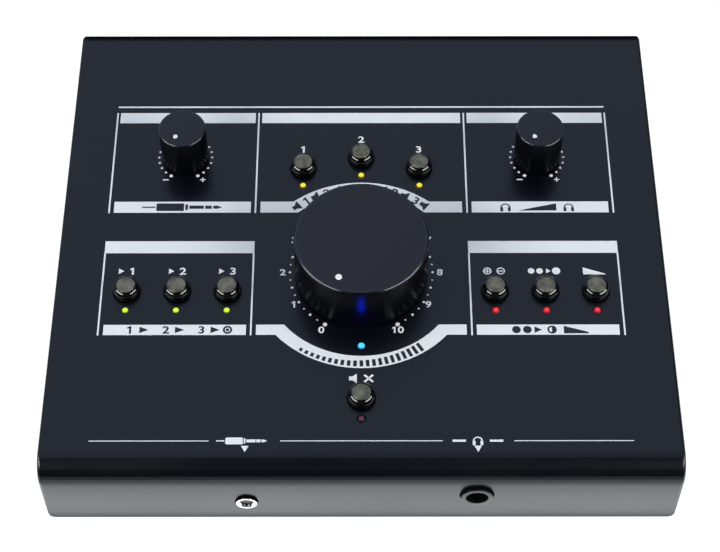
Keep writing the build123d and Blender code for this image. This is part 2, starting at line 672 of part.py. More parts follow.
# ---------------------------------------------------------------- all nodes
def build():
    nodes = {
        "top_cover": top_cover(),
        "base_tray": base_tray(),
        "rear_panel": rear_panel(),
        "rubber_feet": rubber_feet(),
        "pan_screws": pan_screws(),
        "cover_screws": cover_screws(),
        "board_pillars": board_pillars(),
        "control_board": control_board(),
        "main_board": main_board(),
        "ribbon_cable": ribbon_cable(),
        "board_components": board_components(),
        "potentiometers": potentiometers(),
        "pot_nuts": pot_nuts(),
        "switch_bodies": switch_bodies(),
        "led_spacers": led_spacers(),
        "green_leds": lamps(["source_1", "source_2", "source_3"]),
        "red_leds": lamps(["mix_1", "mix_2", "mix_3"]),
        "amber_leds": lamps(["speaker_1", "speaker_2", "speaker_3"]),
        "blue_led": copies(lamp(), on_panel([POWER_LED_AT])),
        "mute_led": lamps(["mute"]),
        "phones_socket": phones_socket(),
        "aux_socket": aux_socket(),
        "aux_socket_ring": aux_socket_ring(),
        "output_jacks": output_jacks(),
        "output_jack_nuts": output_jack_nuts(),
        "combo_sockets": combo_sockets(),
        "phono_block": phono_block(),
        "phono_barrels": phono_barrels(),
        "dc_inlet": dc_inlet(),
        "rocker_frame": rocker_frame(),
        "power_rocker": power_rocker(),
    }
    for name, (point, form, dot) in KNOBS.items():
        place = on_panel([point])[0]
        nodes[name + "_knob"] = place * knob(**form, **dot)
        nodes[name + "_indicator"] = place * pointer_dot(form["height"], **dot)
        nodes[name + "_shaft"] = place * spindle(form["height"] - form["crown"])
    for name, point in BUTTON_AT.items():
        place = on_panel([point])[0]
        nodes[name + "_cap"] = place * button_cap()
        nodes[name + "_insert"] = place * button_insert()
    return nodes


os.makedirs("parts", exist_ok=True)
for node, shape in build().items():
    export_step(shape, f"parts/{node}.step")
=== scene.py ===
import json
import math

import bmesh
import bpy
from bpy.props import FloatProperty, FloatVectorProperty, PointerProperty
from mathutils import Matrix, Vector


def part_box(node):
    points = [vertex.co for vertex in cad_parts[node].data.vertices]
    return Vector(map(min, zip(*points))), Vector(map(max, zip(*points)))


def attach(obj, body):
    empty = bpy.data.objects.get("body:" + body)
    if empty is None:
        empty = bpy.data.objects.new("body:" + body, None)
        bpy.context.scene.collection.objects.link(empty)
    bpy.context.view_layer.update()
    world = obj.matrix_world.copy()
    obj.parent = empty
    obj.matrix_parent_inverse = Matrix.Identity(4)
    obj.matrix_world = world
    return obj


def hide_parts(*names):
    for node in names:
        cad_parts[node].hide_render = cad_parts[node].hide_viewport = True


bl_info = {
    "name": "Monitor controller",
    "version": (1, 0, 0),
    "blender": (4, 5, 0),
    "location": "3D View > Sidebar > Controller",
    "description": "Dresses the desktop monitor controller: cover, print, knobs, buttons, lamps and sockets",
    "category": "Object",
}

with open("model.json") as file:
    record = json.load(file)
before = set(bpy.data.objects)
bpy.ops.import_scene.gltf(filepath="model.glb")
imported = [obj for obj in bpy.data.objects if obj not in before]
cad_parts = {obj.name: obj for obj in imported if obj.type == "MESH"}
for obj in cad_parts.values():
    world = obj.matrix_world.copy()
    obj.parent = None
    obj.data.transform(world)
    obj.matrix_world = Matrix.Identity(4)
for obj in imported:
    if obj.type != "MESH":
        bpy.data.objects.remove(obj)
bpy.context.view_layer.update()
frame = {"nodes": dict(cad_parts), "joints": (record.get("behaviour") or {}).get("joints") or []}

# ------------------------------------------------------------------ the object's own frames
# Shapes are drawn in millimetres.  The panel's frame has u to the right, v up its slope from the
# front corner line and w out of it.  The front face shares the corner line and looks forward.
MM = 0.001
MASTER_V = 80.0
DIAL = next(joint for joint in frame["joints"] if joint["name"] == "master_turn")
NORMAL = -Vector(DIAL["axis"]).normalized()
ACROSS = Vector((1, 0, 0))
UPHILL = NORMAL.cross(ACROSS)
CORNER = Vector(DIAL["pos_m"]) - UPHILL * MASTER_V * MM
REAR_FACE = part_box("rear_panel")[1].y
TRAY_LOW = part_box("base_tray")[0].z
MAIN_BOARD_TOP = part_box("main_board")[1].z / MM


def frame_of(origin, x, y, z):
    """Matrix from millimetres in a face's own frame to metres in the object's frame."""
    turn = Matrix((x, y, z)).transposed().to_4x4()
    return Matrix.Translation(origin) @ turn @ Matrix.Scale(MM, 4)


PANEL = frame_of(CORNER, ACROSS, UPHILL, NORMAL)
FRONT = frame_of(CORNER, ACROSS, NORMAL, -UPHILL)
REAR = frame_of(Vector((0, REAR_FACE, 0)), Vector((-1, 0, 0)), Vector((0, 0, 1)), Vector((0, 1, 0)))
ROOM = Matrix.Scale(MM, 4)
TO_ROOM = ROOM.inverted()
SIN = UPHILL.z
COS = UPHILL.y


def at(u, v, w=0.0):
    return Matrix.Translation((u, v, w))


def spun(degrees, axis="Z"):
    return Matrix.Rotation(math.radians(degrees), 4, axis)


# ------------------------------------------------------------------ settings
def size(name, text, mm):
    return FloatProperty(name=name, description=text, default=mm * MM, unit="LENGTH", precision=4)


def tint(name, text, *rgb):
    return FloatVectorProperty(
        name=name, description=text, default=rgb, subtype="COLOR", size=3, min=0, max=1
    )


def amount(name, text, value):
    return FloatProperty(name=name, description=text, default=value, min=0)


class CoverSettings(bpy.types.PropertyGroup):
    width: size("Width", "Side to side over the folded cover", 216.7)
    length: size("Panel length", "Control panel along its slope", 191.9)
    drop: size("Front drop", "Front face from its corner line to its lower edge", 32.7)
    sheet: size("Sheet", "Thickness of the folded steel", 1.5)
    front_bend: size("Front bend", "Outside radius between panel and front face", 8.5)
    rear_bend: size("Rear bend", "Outside radius into the rear lip", 2.0)
    edge_bend: size("Edge bend", "Outside radius along the sides", 1.3)
    colour: tint("Powder coat", "Colour of the satin coat", 0.0012, 0.0022, 0.0042)
    roughness: amount("Roughness", "Roughness of the satin coat", 0.27)


class PrintSettings(bpy.types.PropertyGroup):
    ink: tint("Ink", "Colour of the screen print", 0.80, 0.83, 0.82)
    thickness: size("Ink thickness", "How far the print stands above the coat", 0.03)
    numeral: size("Numeral height", "Height of the dial numerals", 2.7)
    label: size("Label height", "Height of the signs above the buttons", 3.0)


class KnobSettings(bpy.types.PropertyGroup):
    master: size("Master diameter", "Diameter of the volume knob", 47.1)
    master_height: size("Master height", "Top of the volume knob above the panel", 21.7)
    small: size("Small diameter", "Diameter of the two level knobs", 17.1)
    small_height: size("Small height", "Top of a level knob above the panel", 17.5)
    gap: size("Skirt gap", "Between a skirt and the panel", 1.0)
    side: tint("Skirt colour", "Dark anodised side", 0.0012, 0.0018, 0.0032)
    rim: tint("Rim colour", "Polished edge between side and top", 0.075, 0.08, 0.088)
    top: tint("Top colour", "Satin top face", 0.006, 0.0066, 0.010)


class ButtonSettings(bpy.types.PropertyGroup):
    cap: size("Cap diameter", "Diameter of the glossy cap", 9.5)
    height: size("Cap height", "Top of the insert above the panel", 4.2)
    shoulder: size("Shoulder", "How far the cap slopes down outside its insert", 0.67)
    insert: size("Insert diameter", "Diameter of the spun metal disc", 6.55)
    black: tint("Cap colour", "Glossy black plastic", 0.002, 0.002, 0.0025)
    metal: tint("Insert colour", "Dark nickel", 0.25, 0.225, 0.145)


class LampSettings(bpy.types.PropertyGroup):
    lens: size("Lens diameter", "Diameter of a lamp", 3.0)
    rise: size("Dome rise", "Top of the dome above the panel", 0.4)
    power: amount("Brightness", "Strength of the lit lenses", 1.0)
    spill: amount("Spill", "Power of the blue lamp's light on the knob, in watts", 0.0011)


class StudioSettings(bpy.types.PropertyGroup):
    floor: tint("Floor", "Pale table", 0.10, 0.10, 0.10)
    glow: amount("Floor glow", "How bright the table itself looks", 0.97)
    table: amount("Table light", "How strongly the lit table shines on the object", 2.4)
    sky: tint("Ceiling", "Light of the pale ceiling above and behind the table", 0.45, 0.53, 0.73)
    dusk: tint("Dusk", "Light of the dark room in front of the table", 0.012, 0.018, 0.028)
    key: amount("Key lights", "Power of each of the two wide lights, in watts", 10.0)
    strip: amount("Strip light", "Power of the faint strip in front, in watts", 0.16)


class ControllerSettings(bpy.types.PropertyGroup):
    cover: PointerProperty(type=CoverSettings)
    print: PointerProperty(type=PrintSettings)
    knobs: PointerProperty(type=KnobSettings)
    buttons: PointerProperty(type=ButtonSettings)
    lamps: PointerProperty(type=LampSettings)
    studio: PointerProperty(type=StudioSettings)


# ------------------------------------------------------------------ places of the controls
MASTER_AT = (0.0, MASTER_V)
SMALL_AT = {"aux": (-65.1, 131.4), "phones": (65.1, 131.4)}
BUTTON_AT = {
    "source_1": (-82.8, 72.0),
    "source_2": (-65.0, 72.0),
    "source_3": (-47.2, 72.0),
    "mix_1": (47.2, 72.0),
    "mix_2": (65.0, 72.0),
    "mix_3": (82.8, 72.0),
    "speaker_1": (-21.35, 126.5),
    "speaker_2": (0.0, 131.15),
    "speaker_3": (21.35, 126.5),
    "mute": (0.0, 28.5),
}
LAMP_DROP = 8.1
LAMP_AT = {name: (u, v - LAMP_DROP) for name, (u, v) in BUTTON_AT.items()}
POWER_LAMP_AT = (0.0, 49.3)
AUX_AT = (-39.1, -20.75)
PHONES_AT = (39.1, -16.0)
OUTPUT_X = (58.0, 39.5, 21.0, 2.5, -16.0)
COMBO_X = (-58.0, -88.0)
PHONO_X = -35.0
DC_X = 76.0
ROCKER_X = 93.0
JACK_Z = MAIN_BOARD_TOP + 8.0
COMBO_Z = MAIN_BOARD_TOP + 14.5
PHONO_Z = (MAIN_BOARD_TOP + 8.0, MAIN_BOARD_TOP + 22.0)
DC_Z = MAIN_BOARD_TOP + 6.5
ROCKER_Z = 27.0


# ------------------------------------------------------------------ modelling tools
SAME_POINT = 1e-5  # points of a spun form that are this close are one
CUT_POINT = 1e-4  # the same after a cut, and in the print
SOFT_ANGLE = 30.0  # degrees by which an edge turns before it is bevelled
SHARP_ANGLE = 32.0  # degrees by which a smooth surface may turn
STEEP = 0.5  # upward part of a wall's normal at most


def rounded(*corners, closed=False, steps=6):
    """Points of a line through the corners.  A corner's third value is the radius of its arc."""
    points = []
    count = len(corners)
    for i, corner in enumerate(corners):
        here = Vector(corner[:2])
        if len(corner) < 3 or (not closed and i in (0, count - 1)):
            points.append(here)
            continue
        back = (Vector(corners[i - 1][:2]) - here).normalized()
        ahead = (Vector(corners[(i + 1) % count][:2]) - here).normalized()
        half = back.angle(ahead) / 2
        middle = here + (back + ahead).normalized() * corner[2] / math.sin(half)
        first = here + back * corner[2] / math.tan(half) - middle
        sweep = first.angle_signed(here + ahead * corner[2] / math.tan(half) - middle)
        for k in range(steps + 1):
            points.append(middle + Matrix.Rotation(-sweep * k / steps, 2) @ first)
    return points


def on_circle(centre, radius, angle):
    """Point on a circle.  Angles are in degrees, clockwise from straight up."""
    turn = math.radians(angle)
    return centre[0] + radius * math.sin(turn), centre[1] + radius * math.cos(turn)


def arc(centre, radius, start, end, steps=24):
    """Points on an arc."""
    return [on_circle(centre, radius, start + (end - start) * k / steps) for k in range(steps + 1)]


def lathe(outline, steps=64, closed=False):
    """Spin a (radius, height) outline about the local Z axis."""
    bm = bmesh.new()
    verts = [bm.verts.new((p[0], 0, p[1])) for p in outline]
    edges = [bm.edges.new(pair) for pair in zip(verts, verts[1:])]
    if closed:
        edges.append(bm.edges.new((verts[-1], verts[0])))
    bmesh.ops.spin(
        bm, geom=verts + edges, cent=(0, 0, 0), axis=(0, 0, 1), angle=math.tau, steps=steps, use_merge=True
    )
    bmesh.ops.remove_doubles(bm, verts=bm.verts, dist=SAME_POINT)
    bmesh.ops.recalc_face_normals(bm, faces=bm.faces)
    return bm


def slab(outline, low, high):
    """Upright prism on a flat outline."""
    bm = bmesh.new()
    face = bm.faces.new([bm.verts.new((p[0], p[1], low)) for p in outline])
    raised = bmesh.ops.extrude_face_region(bm, geom=[face])["geom"]
    tops = [part for part in raised if isinstance(part, bmesh.types.BMVert)]
    bmesh.ops.translate(bm, verts=tops, vec=(0, 0, high - low))
    bmesh.ops.recalc_face_normals(bm, faces=bm.faces)
    return bm


def block(x, y, z):
    """Box from three (low, high) pairs."""
    bm = bmesh.new()
    bmesh.ops.create_cube(bm, size=1)
    bmesh.ops.scale(bm, verts=bm.verts, vec=(x[1] - x[0], y[1] - y[0], z[1] - z[0]))
    middle = ((x[0] + x[1]) / 2, (y[0] + y[1]) / 2, (z[0] + z[1]) / 2)
    bmesh.ops.translate(bm, verts=bm.verts, vec=middle)
    return bm


def rod(radius, low, high, steps=48):
    """Plain cylinder, also used as a drill."""
    return lathe([(0, low), (radius, low), (radius, high), (0, high)], steps)


def bevel(bm, edges, width, segments, clamp=True):
    bmesh.ops.bevel(
        bm, geom=edges, offset=width, segments=segments, profile=0.5, affect="EDGES", material=-1,
        clamp_overlap=clamp,
    )


def soften(bm, width):
    """Bevel the edges between faces that turn."""
    turning = [e for e in bm.edges if e.is_manifold and e.calc_face_angle() > math.radians(SOFT_ANGLE)]
    bevel(bm, turning, width, 2)
    return bm


def placed(bm, place):
    bmesh.ops.transform(bm, matrix=place, verts=bm.verts)
    return bm


def joined(*parts):
    """One bmesh that holds all of them."""
    whole = bmesh.new()
    for part in parts:
        mesh = bpy.data.meshes.new("part")
        part.to_mesh(mesh)
        part.free()
        whole.from_mesh(mesh)
        bpy.data.meshes.remove(mesh)
    return whole


def repeated(make, places):
    return joined(*[placed(make(), place) for place in places])


def scratch_object(bm):
    mesh = bpy.data.meshes.new("scratch")
    bm.to_mesh(mesh)
    bm.free()
    thing = bpy.data.objects.new("scratch", mesh)
    bpy.context.scene.collection.objects.link(thing)
    return thing


def carved(solid, *tools, operation="DIFFERENCE"):
    """Cut the tools out of a closed solid, or join them to it."""
    body = scratch_object(solid)
    tool = scratch_object(joined(*tools))
    cut = body.modifiers.new("cut", "BOOLEAN")
    cut.operation = operation
    cut.solver = "EXACT"
    cut.use_self = operation == "DIFFERENCE" and len(tools) > 1
    cut.object = tool
    mesh = bpy.data.meshes.new_from_object(body.evaluated_get(bpy.context.evaluated_depsgraph_get()))
    result = bmesh.new()
    result.from_mesh(mesh)
    for thing in (body, tool):
        old = thing.data
        bpy.data.objects.remove(thing)
        bpy.data.meshes.remove(old)
    bpy.data.meshes.remove(mesh)
    bmesh.ops.remove_doubles(result, verts=result.verts, dist=CUT_POINT)
    bmesh.ops.dissolve_degenerate(result, edges=result.edges, dist=SAME_POINT)
    return result


def turned_uv(bm, walls=True):
    """UV map of a spun form: u runs round the local Z axis, and v is the distance from the axis in
    millimetres.  On walls it is the depth instead, unless they are left out."""
    layer = bm.loops.layers.uv.new("turned")
    bm.normal_update()
    for face in bm.faces:
        middle = face.calc_center_median()
        home = math.atan2(middle.y, middle.x)
        wall = walls and abs(face.normal.z) < STEEP
        for loop in face.loops:
            co = loop.vert.co
            radius = math.hypot(co.x, co.y)
            turn = math.atan2(co.y, co.x) - home if radius > CUT_POINT else 0.0
            turn = (turn + math.pi) % math.tau - math.pi
            loop[layer].uv = ((home + turn) / math.tau, -co.z if wall else radius)
    return bm


def piece(name, bm, place, materials, body, replaces=(), weighted=False):
    """Finished object from a bmesh in millimetres, with its place in its mesh."""
    bmesh.ops.transform(bm, matrix=place, verts=bm.verts)
    if place.determinant() < 0:
        bmesh.ops.reverse_faces(bm, faces=bm.faces)
    mesh = bpy.data.meshes.new(name)
    bm.to_mesh(mesh)
    bm.free()
    for face in mesh.polygons:
        face.use_smooth = True
    mesh.set_sharp_from_angle(angle=math.radians(SHARP_ANGLE))
    for material in materials if isinstance(materials, list) else [materials]:
        mesh.materials.append(material)
    thing = bpy.data.objects.new(name, mesh)
    bpy.context.scene.collection.objects.link(thing)
    if weighted:
        shading = thing.modifiers.new("Weighted normals", "WEIGHTED_NORMAL")
        shading.keep_sharp = True
    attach(thing, body)
    if replaces:
        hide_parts(*replaces)
    return thing


# ------------------------------------------------------------------ finishes
MIX_SHARE, MIX_FROM, MIX_TO, MIX_COLOUR = 0, 6, 7, 2  # sockets of a Mix node that is set to colour


class Finish:
    """Principled material with a few named ways to give its surface life."""

    def __init__(self, name, colour, roughness, metallic=0.0, specular=0.5):
        self.material = bpy.data.materials.new(name)
        self.material.use_nodes = True
        self.tree = self.material.node_tree
        self.shader = self.tree.nodes["Principled BSDF"]
        self.colour = colour
        self.roughness = roughness
        self.set("Base Color", (*colour, 1.0))
        self.set("Roughness", roughness)
        self.set("Metallic", metallic)
        self.set("Specular IOR Level", specular)
        self.height = None

    def set(self, socket, value):
        self.shader.inputs[socket].default_value = value
        return self

    def node(self, kind, **values):
        made = self.tree.nodes.new(kind)
        for key, value in values.items():
            if key in made.inputs:
                made.inputs[key].default_value = value
            else:
                setattr(made, key, value)
        return made

    def link(self, start, end):
        self.tree.links.new(start, end)

    def where(self):
        return self.node("ShaderNodeTexCoord").outputs["Object"]

    def noise(self, per_mm, detail=2.0, stretch=None):
        """Noise with this many features per millimetre."""
        made = self.node("ShaderNodeTexNoise", Scale=per_mm / MM, Detail=detail)
        start = self.where()
        if stretch:
            mapping = self.node("ShaderNodeMapping")
            mapping.inputs["Scale"].default_value = stretch
            self.link(start, mapping.inputs["Vector"])
            start = mapping.outputs["Vector"]
        self.link(start, made.inputs["Vector"])
        return made.outputs["Fac"]

    def remap(self, source, low, high, start=0.3, end=0.7):
        made = self.node("ShaderNodeMapRange")
        for socket, value in (("From Min", start), ("From Max", end), ("To Min", low), ("To Max", high)):
            made.inputs[socket].default_value = value
        self.link(source, made.inputs["Value"])
        return made.outputs["Result"]

    def bump(self, source, depth_mm):
        """Raise the surface by a source between 0 and 1; bumps are stacked in the order given."""
        made = self.node("ShaderNodeBump", Strength=1.0, Distance=depth_mm * MM)
        self.link(source, made.inputs["Height"])
        if self.height:
            self.link(self.height, made.inputs["Normal"])
        self.height = made.outputs["Normal"]
        self.link(self.height, self.shader.inputs["Normal"])
        return self

    def rough(self, source, spread):
        """Let the gloss drift a little."""
        drift = self.remap(source, self.roughness - spread, self.roughness + spread)
        self.link(drift, self.shader.inputs["Roughness"])
        return self

    def tone(self, source, spread):
        """Let the colour drift a little lighter and darker."""
        made = self.node("ShaderNodeMix", data_type="RGBA")
        for socket, share in ((MIX_FROM, 1 - spread), (MIX_TO, 1 + spread)):
            made.inputs[socket].default_value = (*(min(1.0, c * share) for c in self.colour), 1.0)
        self.link(self.remap(source, 0, 1), made.inputs[MIX_SHARE])
        self.link(made.outputs[MIX_COLOUR], self.shader.inputs["Base Color"])
        return self

    def life(self, grain, gloss, drift):
        """Grain, changing gloss and changing tone, each as features per mm, detail and strength."""
        self.bump(self.noise(*grain[:2]), grain[2])
        self.rough(self.noise(*gloss[:2]), gloss[2])
        return self.tone(self.noise(*drift[:2]), drift[2])

    def turned(self):
        """The distance from a spun piece's own axis, in millimetres."""
        split = self.node("ShaderNodeSeparateXYZ")
        made = self.node("ShaderNodeUVMap", uv_map="turned")
        self.link(made.outputs["UV"], split.inputs["Vector"])
        return split.outputs["Y"]

    def grooves(self, pitch_mm, depth_mm):
        """Fine turning marks round a spun piece's axis."""
        wave = self.node("ShaderNodeMath", operation="SINE")
        scaled = self.node("ShaderNodeMath", operation="MULTIPLY")
        scaled.inputs[1].default_value = math.tau / pitch_mm
        self.link(self.turned(), scaled.inputs[0])
        self.link(scaled.outputs[0], wave.inputs[0])
        return self.bump(self.remap(wave.outputs[0], 0, 1, -1, 1), depth_mm)

    def spun_sheen(self, strength):
        """Stretch highlights across the turning marks."""
        self.set("Anisotropic", strength).set("Anisotropic Rotation", 0.25)
        tangent = self.node("ShaderNodeTangent", direction_type="UV_MAP", uv_map="turned")
        self.link(tangent.outputs["Tangent"], self.shader.inputs["Tangent"])
        return self

    def glow(self, colour, strength):
        return self.set("Emission Color", (*colour, 1.0)).set("Emission Strength", strength)


def powder_coat(name, colour, roughness):
    """Satin black coat: a fine orange-peel grain with slow changes of gloss."""
    finish = Finish(name, colour, roughness)
    finish.bump(finish.noise(1.6, 3.0), 0.006)
    return finish.life((0.35, 1.0, 0.007), (0.02, 3.0, 0.03), (0.015, 2.0, 0.06)).material


def moulded(name, colour, roughness, depth=0.006):
    """Moulded plastic with a light spark-eroded texture."""
    finish = Finish(name, colour, roughness)
    return finish.life((1.2, 2.0, depth), (0.08, 2.0, 0.05), (0.05, 2.0, 0.08)).material


def plated(name, colour, roughness):
    """Plated metal with faint tool marks and clouding."""
    finish = Finish(name, colour, roughness, metallic=1.0)
    return finish.life((0.9, 2.0, 0.002), (0.25, 3.0, 0.06), (0.1, 2.0, 0.05)).material


def ink(name, colour):
    """Screen-printing ink, a little uneven and drier than the coat under it."""
    finish = Finish(name, colour, 0.45)
    return finish.life((1.6, 3.0, 0.006), (0.3, 2.0, 0.05), (0.08, 3.0, 0.025)).material


def lens(name, core, rim, spread, radius_mm, strength):
    """Domed lamp: a bright middle that falls off to a deep rim.  An unlit one has no strength, and its middle
    and rim go into its colour instead: a painted highlight in the middle and painted shade at the rim.
    """
    finish = Finish(name, rim, 0.25, specular=0.15)
    ramp = finish.node("ShaderNodeValToRGB")
    ramp.color_ramp.interpolation = "EASE"
    for stop, place, colour in zip(ramp.color_ramp.elements, spread, (core, rim)):
        stop.position = place
        stop.color = (*colour, 1.0)
    finish.link(finish.remap(finish.turned(), 0, 1, 0, radius_mm), ramp.inputs["Fac"])
    finish.link(ramp.outputs["Color"], finish.shader.inputs["Emission Color" if strength else "Base Color"])
    finish.set("Emission Strength", strength)
    finish.bump(finish.noise(0.8), 0.004)
    finish.rough(finish.noise(0.5), 0.04)
    return finish.material


# ------------------------------------------------------------------ the folded cover
FRONT_Y = CORNER.y / MM
FRONT_Z = CORNER.z / MM
TRAY_Z = TRAY_LOW / MM
ON_EDGE = Matrix(((0, 0, 1, 0), (1, 0, 0, 0), (0, 1, 0, 0), (0, 0, 0, 1)))  # flat outline to side view


def wedge(cover, inset, drop):
    """Wedge outline in the side view, pulled across the width.  Only the outer one is rounded."""
    rear_y = FRONT_Y + cover.length / MM * COS - inset
    low_z = TRAY_Z - drop
    low_w = (low_z - FRONT_Z - inset * SIN) / COS
    rear_v = (rear_y - FRONT_Y - inset * SIN) / COS
    front_y = FRONT_Y + inset * COS
    corners = [
        (front_y + inset * SIN, FRONT_Z + inset * SIN - inset * COS, cover.front_bend / MM - inset),
        (rear_y, FRONT_Z + rear_v * SIN - inset * COS, cover.rear_bend / MM - inset),
        (rear_y, low_z),
        (front_y - low_w * SIN, low_z),
    ]
    half = cover.width / 2 / MM - inset
    bm = placed(slab(rounded(*corners, closed=True, steps=10), -half, half), ON_EDGE)
    if not inset:
        on_side = [e for e in bm.edges if all(abs(abs(v.co.x) - half) < 0.001 for v in e.verts)]
        rims = [e for e in on_side if max(v.co.z for v in e.verts) > low_z + 0.1]
        bevel(bm, rims, cover.edge_bend / MM, 6, clamp=False)
    return bm


SIDE_SCREW_RUN = (40.0, 150.0)
SIDE_SCREW_RISE = 7.0


def side_places(half):
    """Where the countersunk screws sit in the cover's sides, with local Z pointing outwards."""
    return [
        at(side * half, FRONT_Y + run, TRAY_Z + SIDE_SCREW_RISE) @ spun(side * 90, "Y")
        for side in (-1, 1)
        for run in SIDE_SCREW_RUN
    ]


REAR_LIP = 8.0  # height of the lip down the rear
LOW_ROUND = 3.0  # radius of the front face's lower corners
DRILL_PAST = 1.0  # how far a drill goes past the sheet
NICK_DEPTH = 3.2
CAP_PLAY = 0.3
LENS_PLAY = 0.1
SMALL_HOLE = 3.6  # radii of the holes for shafts and sockets
MASTER_HOLE = 4.6
AUX_HOLE = 4.0
PHONES_HOLE = 5.95


class CONTROLLER_OT_cover(bpy.types.Operator):
    """Folded steel cover with its bends, holes, countersinks and rounded lower corners"""

    bl_idname = "controller.cover"
    bl_label = "Cover"

    def execute(self, context):
        settings = context.scene.controller
        cover = settings.cover
        sheet = cover.sheet / MM
        half = cover.width / 2 / MM
        low = cover.drop / MM
        rear = FRONT_Y + cover.length / MM * COS
        lip = FRONT_Z + cover.length / MM * SIN - REAR_LIP
        panel = TO_ROOM @ PANEL
        front = TO_ROOM @ FRONT
        depth = (-sheet - DRILL_PAST, DRILL_PAST)
        cap_hole = settings.buttons.cap / 2 / MM + CAP_PLAY
        lens_hole = settings.lamps.lens / 2 / MM + LENS_PLAY
        holes = [(point, cap_hole) for point in BUTTON_AT.values()]
        holes += [(point, lens_hole) for point in (*LAMP_AT.values(), POWER_LAMP_AT)]
        holes += [(point, SMALL_HOLE) for point in SMALL_AT.values()] + [(MASTER_AT, MASTER_HOLE)]
        tools = [block((sheet - half, half - sheet), (rear - sheet - 1, rear + 1), (0, lip))]
        tools += [placed(rod(radius, *depth), panel @ at(*point)) for point, radius in holes]
        for point, radius in ((AUX_AT, AUX_HOLE), (PHONES_AT, PHONES_HOLE)):
            tools.append(placed(rod(radius, *depth, steps=64), front @ at(*point)))
        sink = [(0, depth[0]), (1.65, depth[0]), (1.65, -1.15), (3.0, 0.2), (0, 0.2)]
        tools += [placed(lathe(sink, 32), place) for place in side_places(half)]
        nicks = []
        for side in (-1, 1):
            past = side * (half + 1)
            middle = (side * (half - LOW_ROUND), LOW_ROUND - low)
            edge = arc(middle, LOW_ROUND, 180, 180 - side * 90, steps=8)
            outline = [(past, -low - 1), *edge, (past, LOW_ROUND - low)]
            nicks.append(placed(slab(outline, -NICK_DEPTH, DRILL_PAST), front))
        folded = carved(wedge(cover, 0.0, 0.0), wedge(cover, sheet, 5.0))
        folded = carved(carved(folded, *tools), *nicks)
        coat = powder_coat("powder_coat", cover.colour, cover.roughness)
        piece("cover_folded", folded, ROOM, coat, "casing", ["top_cover"], weighted=True)
        return {"FINISHED"}


# ------------------------------------------------------------------ screen print
PRINT_LOW = -0.02


def bar(bm, u0, u1, v0, v1):
    """Filled rectangle."""
    bm.faces.new([bm.verts.new((u, v, 0)) for u, v in ((u0, v0), (u1, v0), (u1, v1), (u0, v1))])


def shape(bm, points):
    """Filled outline."""
    bm.faces.new([bm.verts.new((p[0], p[1], 0)) for p in points])


def shape_at(bm, place, points):
    """Filled outline, drawn in a place of its own."""
    shape(bm, [place @ Vector((*point, 0)) for point in points])


def dot(bm, u, v, diameter, sides=20):
    bmesh.ops.create_circle(bm, cap_ends=True, segments=sides, radius=diameter / 2, matrix=at(u, v))


def ring(bm, u, v, diameter, line, start=0.0, end=360.0):
    """Circle or part of one, drawn with a line of this width."""
    outer = arc((u, v), diameter / 2, start, end)
    inner = arc((u, v), diameter / 2 - line, start, end)
    for k in range(len(outer) - 1):
        shape(bm, (inner[k], inner[k + 1], outer[k + 1], outer[k]))


def stroke(bm, start, end, line):
    """Straight line of this width."""
    a, b = Vector(start), Vector(end)
    side = (b - a).orthogonal().normalized() * line / 2
    shape(bm, (a - side, b - side, b + side, a + side))


# The font's one is a bare upright, so it gets a flag, in the font's own units.
ONE_FLAG = ((0.21, 0.69), (0.04, 0.58), (0.04, 0.45), (0.21, 0.53))
BOLDER = 0.022
WIDER = 1.2


def digits(bm, text, place, height):
    """Plain numerals, centred, with this height."""
    curve = bpy.data.curves.new("digits", "FONT")
    curve.body = text
    curve.offset = BOLDER
    thing = bpy.data.objects.new("digits", curve)
    bpy.context.scene.collection.objects.link(thing)
    mesh = bpy.data.meshes.new_from_object(thing.evaluated_get(bpy.context.evaluated_depsgraph_get()))
    across = [v.co.x for v in mesh.vertices]
    up = [v.co.y for v in mesh.vertices]
    scale = height / (max(up) - min(up))
    centre = Vector((max(across) + min(across), max(up) + min(up), 0)) / 2
    fitted = place @ Matrix.Diagonal((scale * WIDER, scale, scale, 1)) @ Matrix.Translation(-centre)
    mesh.transform(fitted)
    bm.from_mesh(mesh)
    if text.startswith("1"):
        shape_at(bm, fitted, ONE_FLAG)
    bpy.data.objects.remove(thing)
    bpy.data.curves.remove(curve)
    bpy.data.meshes.remove(mesh)


def raised(bm, thickness):
    """Give flat marks their thickness, so each is a thin closed form."""
    bmesh.ops.remove_doubles(bm, verts=bm.verts, dist=CUT_POINT)
    bmesh.ops.recalc_face_normals(bm, faces=bm.faces)
    down = [f for f in bm.faces if f.normal.z < 0]
    bmesh.ops.reverse_faces(bm, faces=down)
    grown = bmesh.ops.extrude_face_region(bm, geom=bm.faces[:])["geom"]
    tops = [part for part in grown if isinstance(part, bmesh.types.BMVert)]
    bmesh.ops.translate(bm, verts=bm.verts, vec=(0, 0, PRINT_LOW))
    bmesh.ops.translate(bm, verts=tops, vec=(0, 0, thickness - PRINT_LOW))
    bmesh.ops.recalc_face_normals(bm, faces=bm.faces)
    return bm


def on_arc(radius, angle):
    """Place on a circle about the master dial, turned with it."""
    return at(*on_circle(MASTER_AT, radius, angle)) @ spun(-angle)


# Rows of the print up the panel, from low to high.
FOOT_LINE = (11.78, 12.10)
LOWER_BAR = (53.75, 57.95)
LOWER_BOX = (53.6, 88.3)
MIDDLE_BAR = (88.3, 93.5)
UPPER_BAR = (106.15, 111.1)
UPPER_BOX = (106.0, 152.5)
HEAD_BAR = (147.65, 152.5)
HEAD_LINE = (155.0, 155.7)
BOX_SIDES = (38.5, 91.7)
BOX_LINE = 0.6
BAND = (34.8, 39.7)  # inner and outer radius of the curved bands
BAND_END = 36.7
JACK_U = 39.0  # the front sockets' marks from the middle


def mirrored_bar(bm, side, near, far, v0, v1):
    """Bar between two distances from the middle, on one side of it."""
    bar(bm, *sorted((side * near, side * far)), v0, v1)


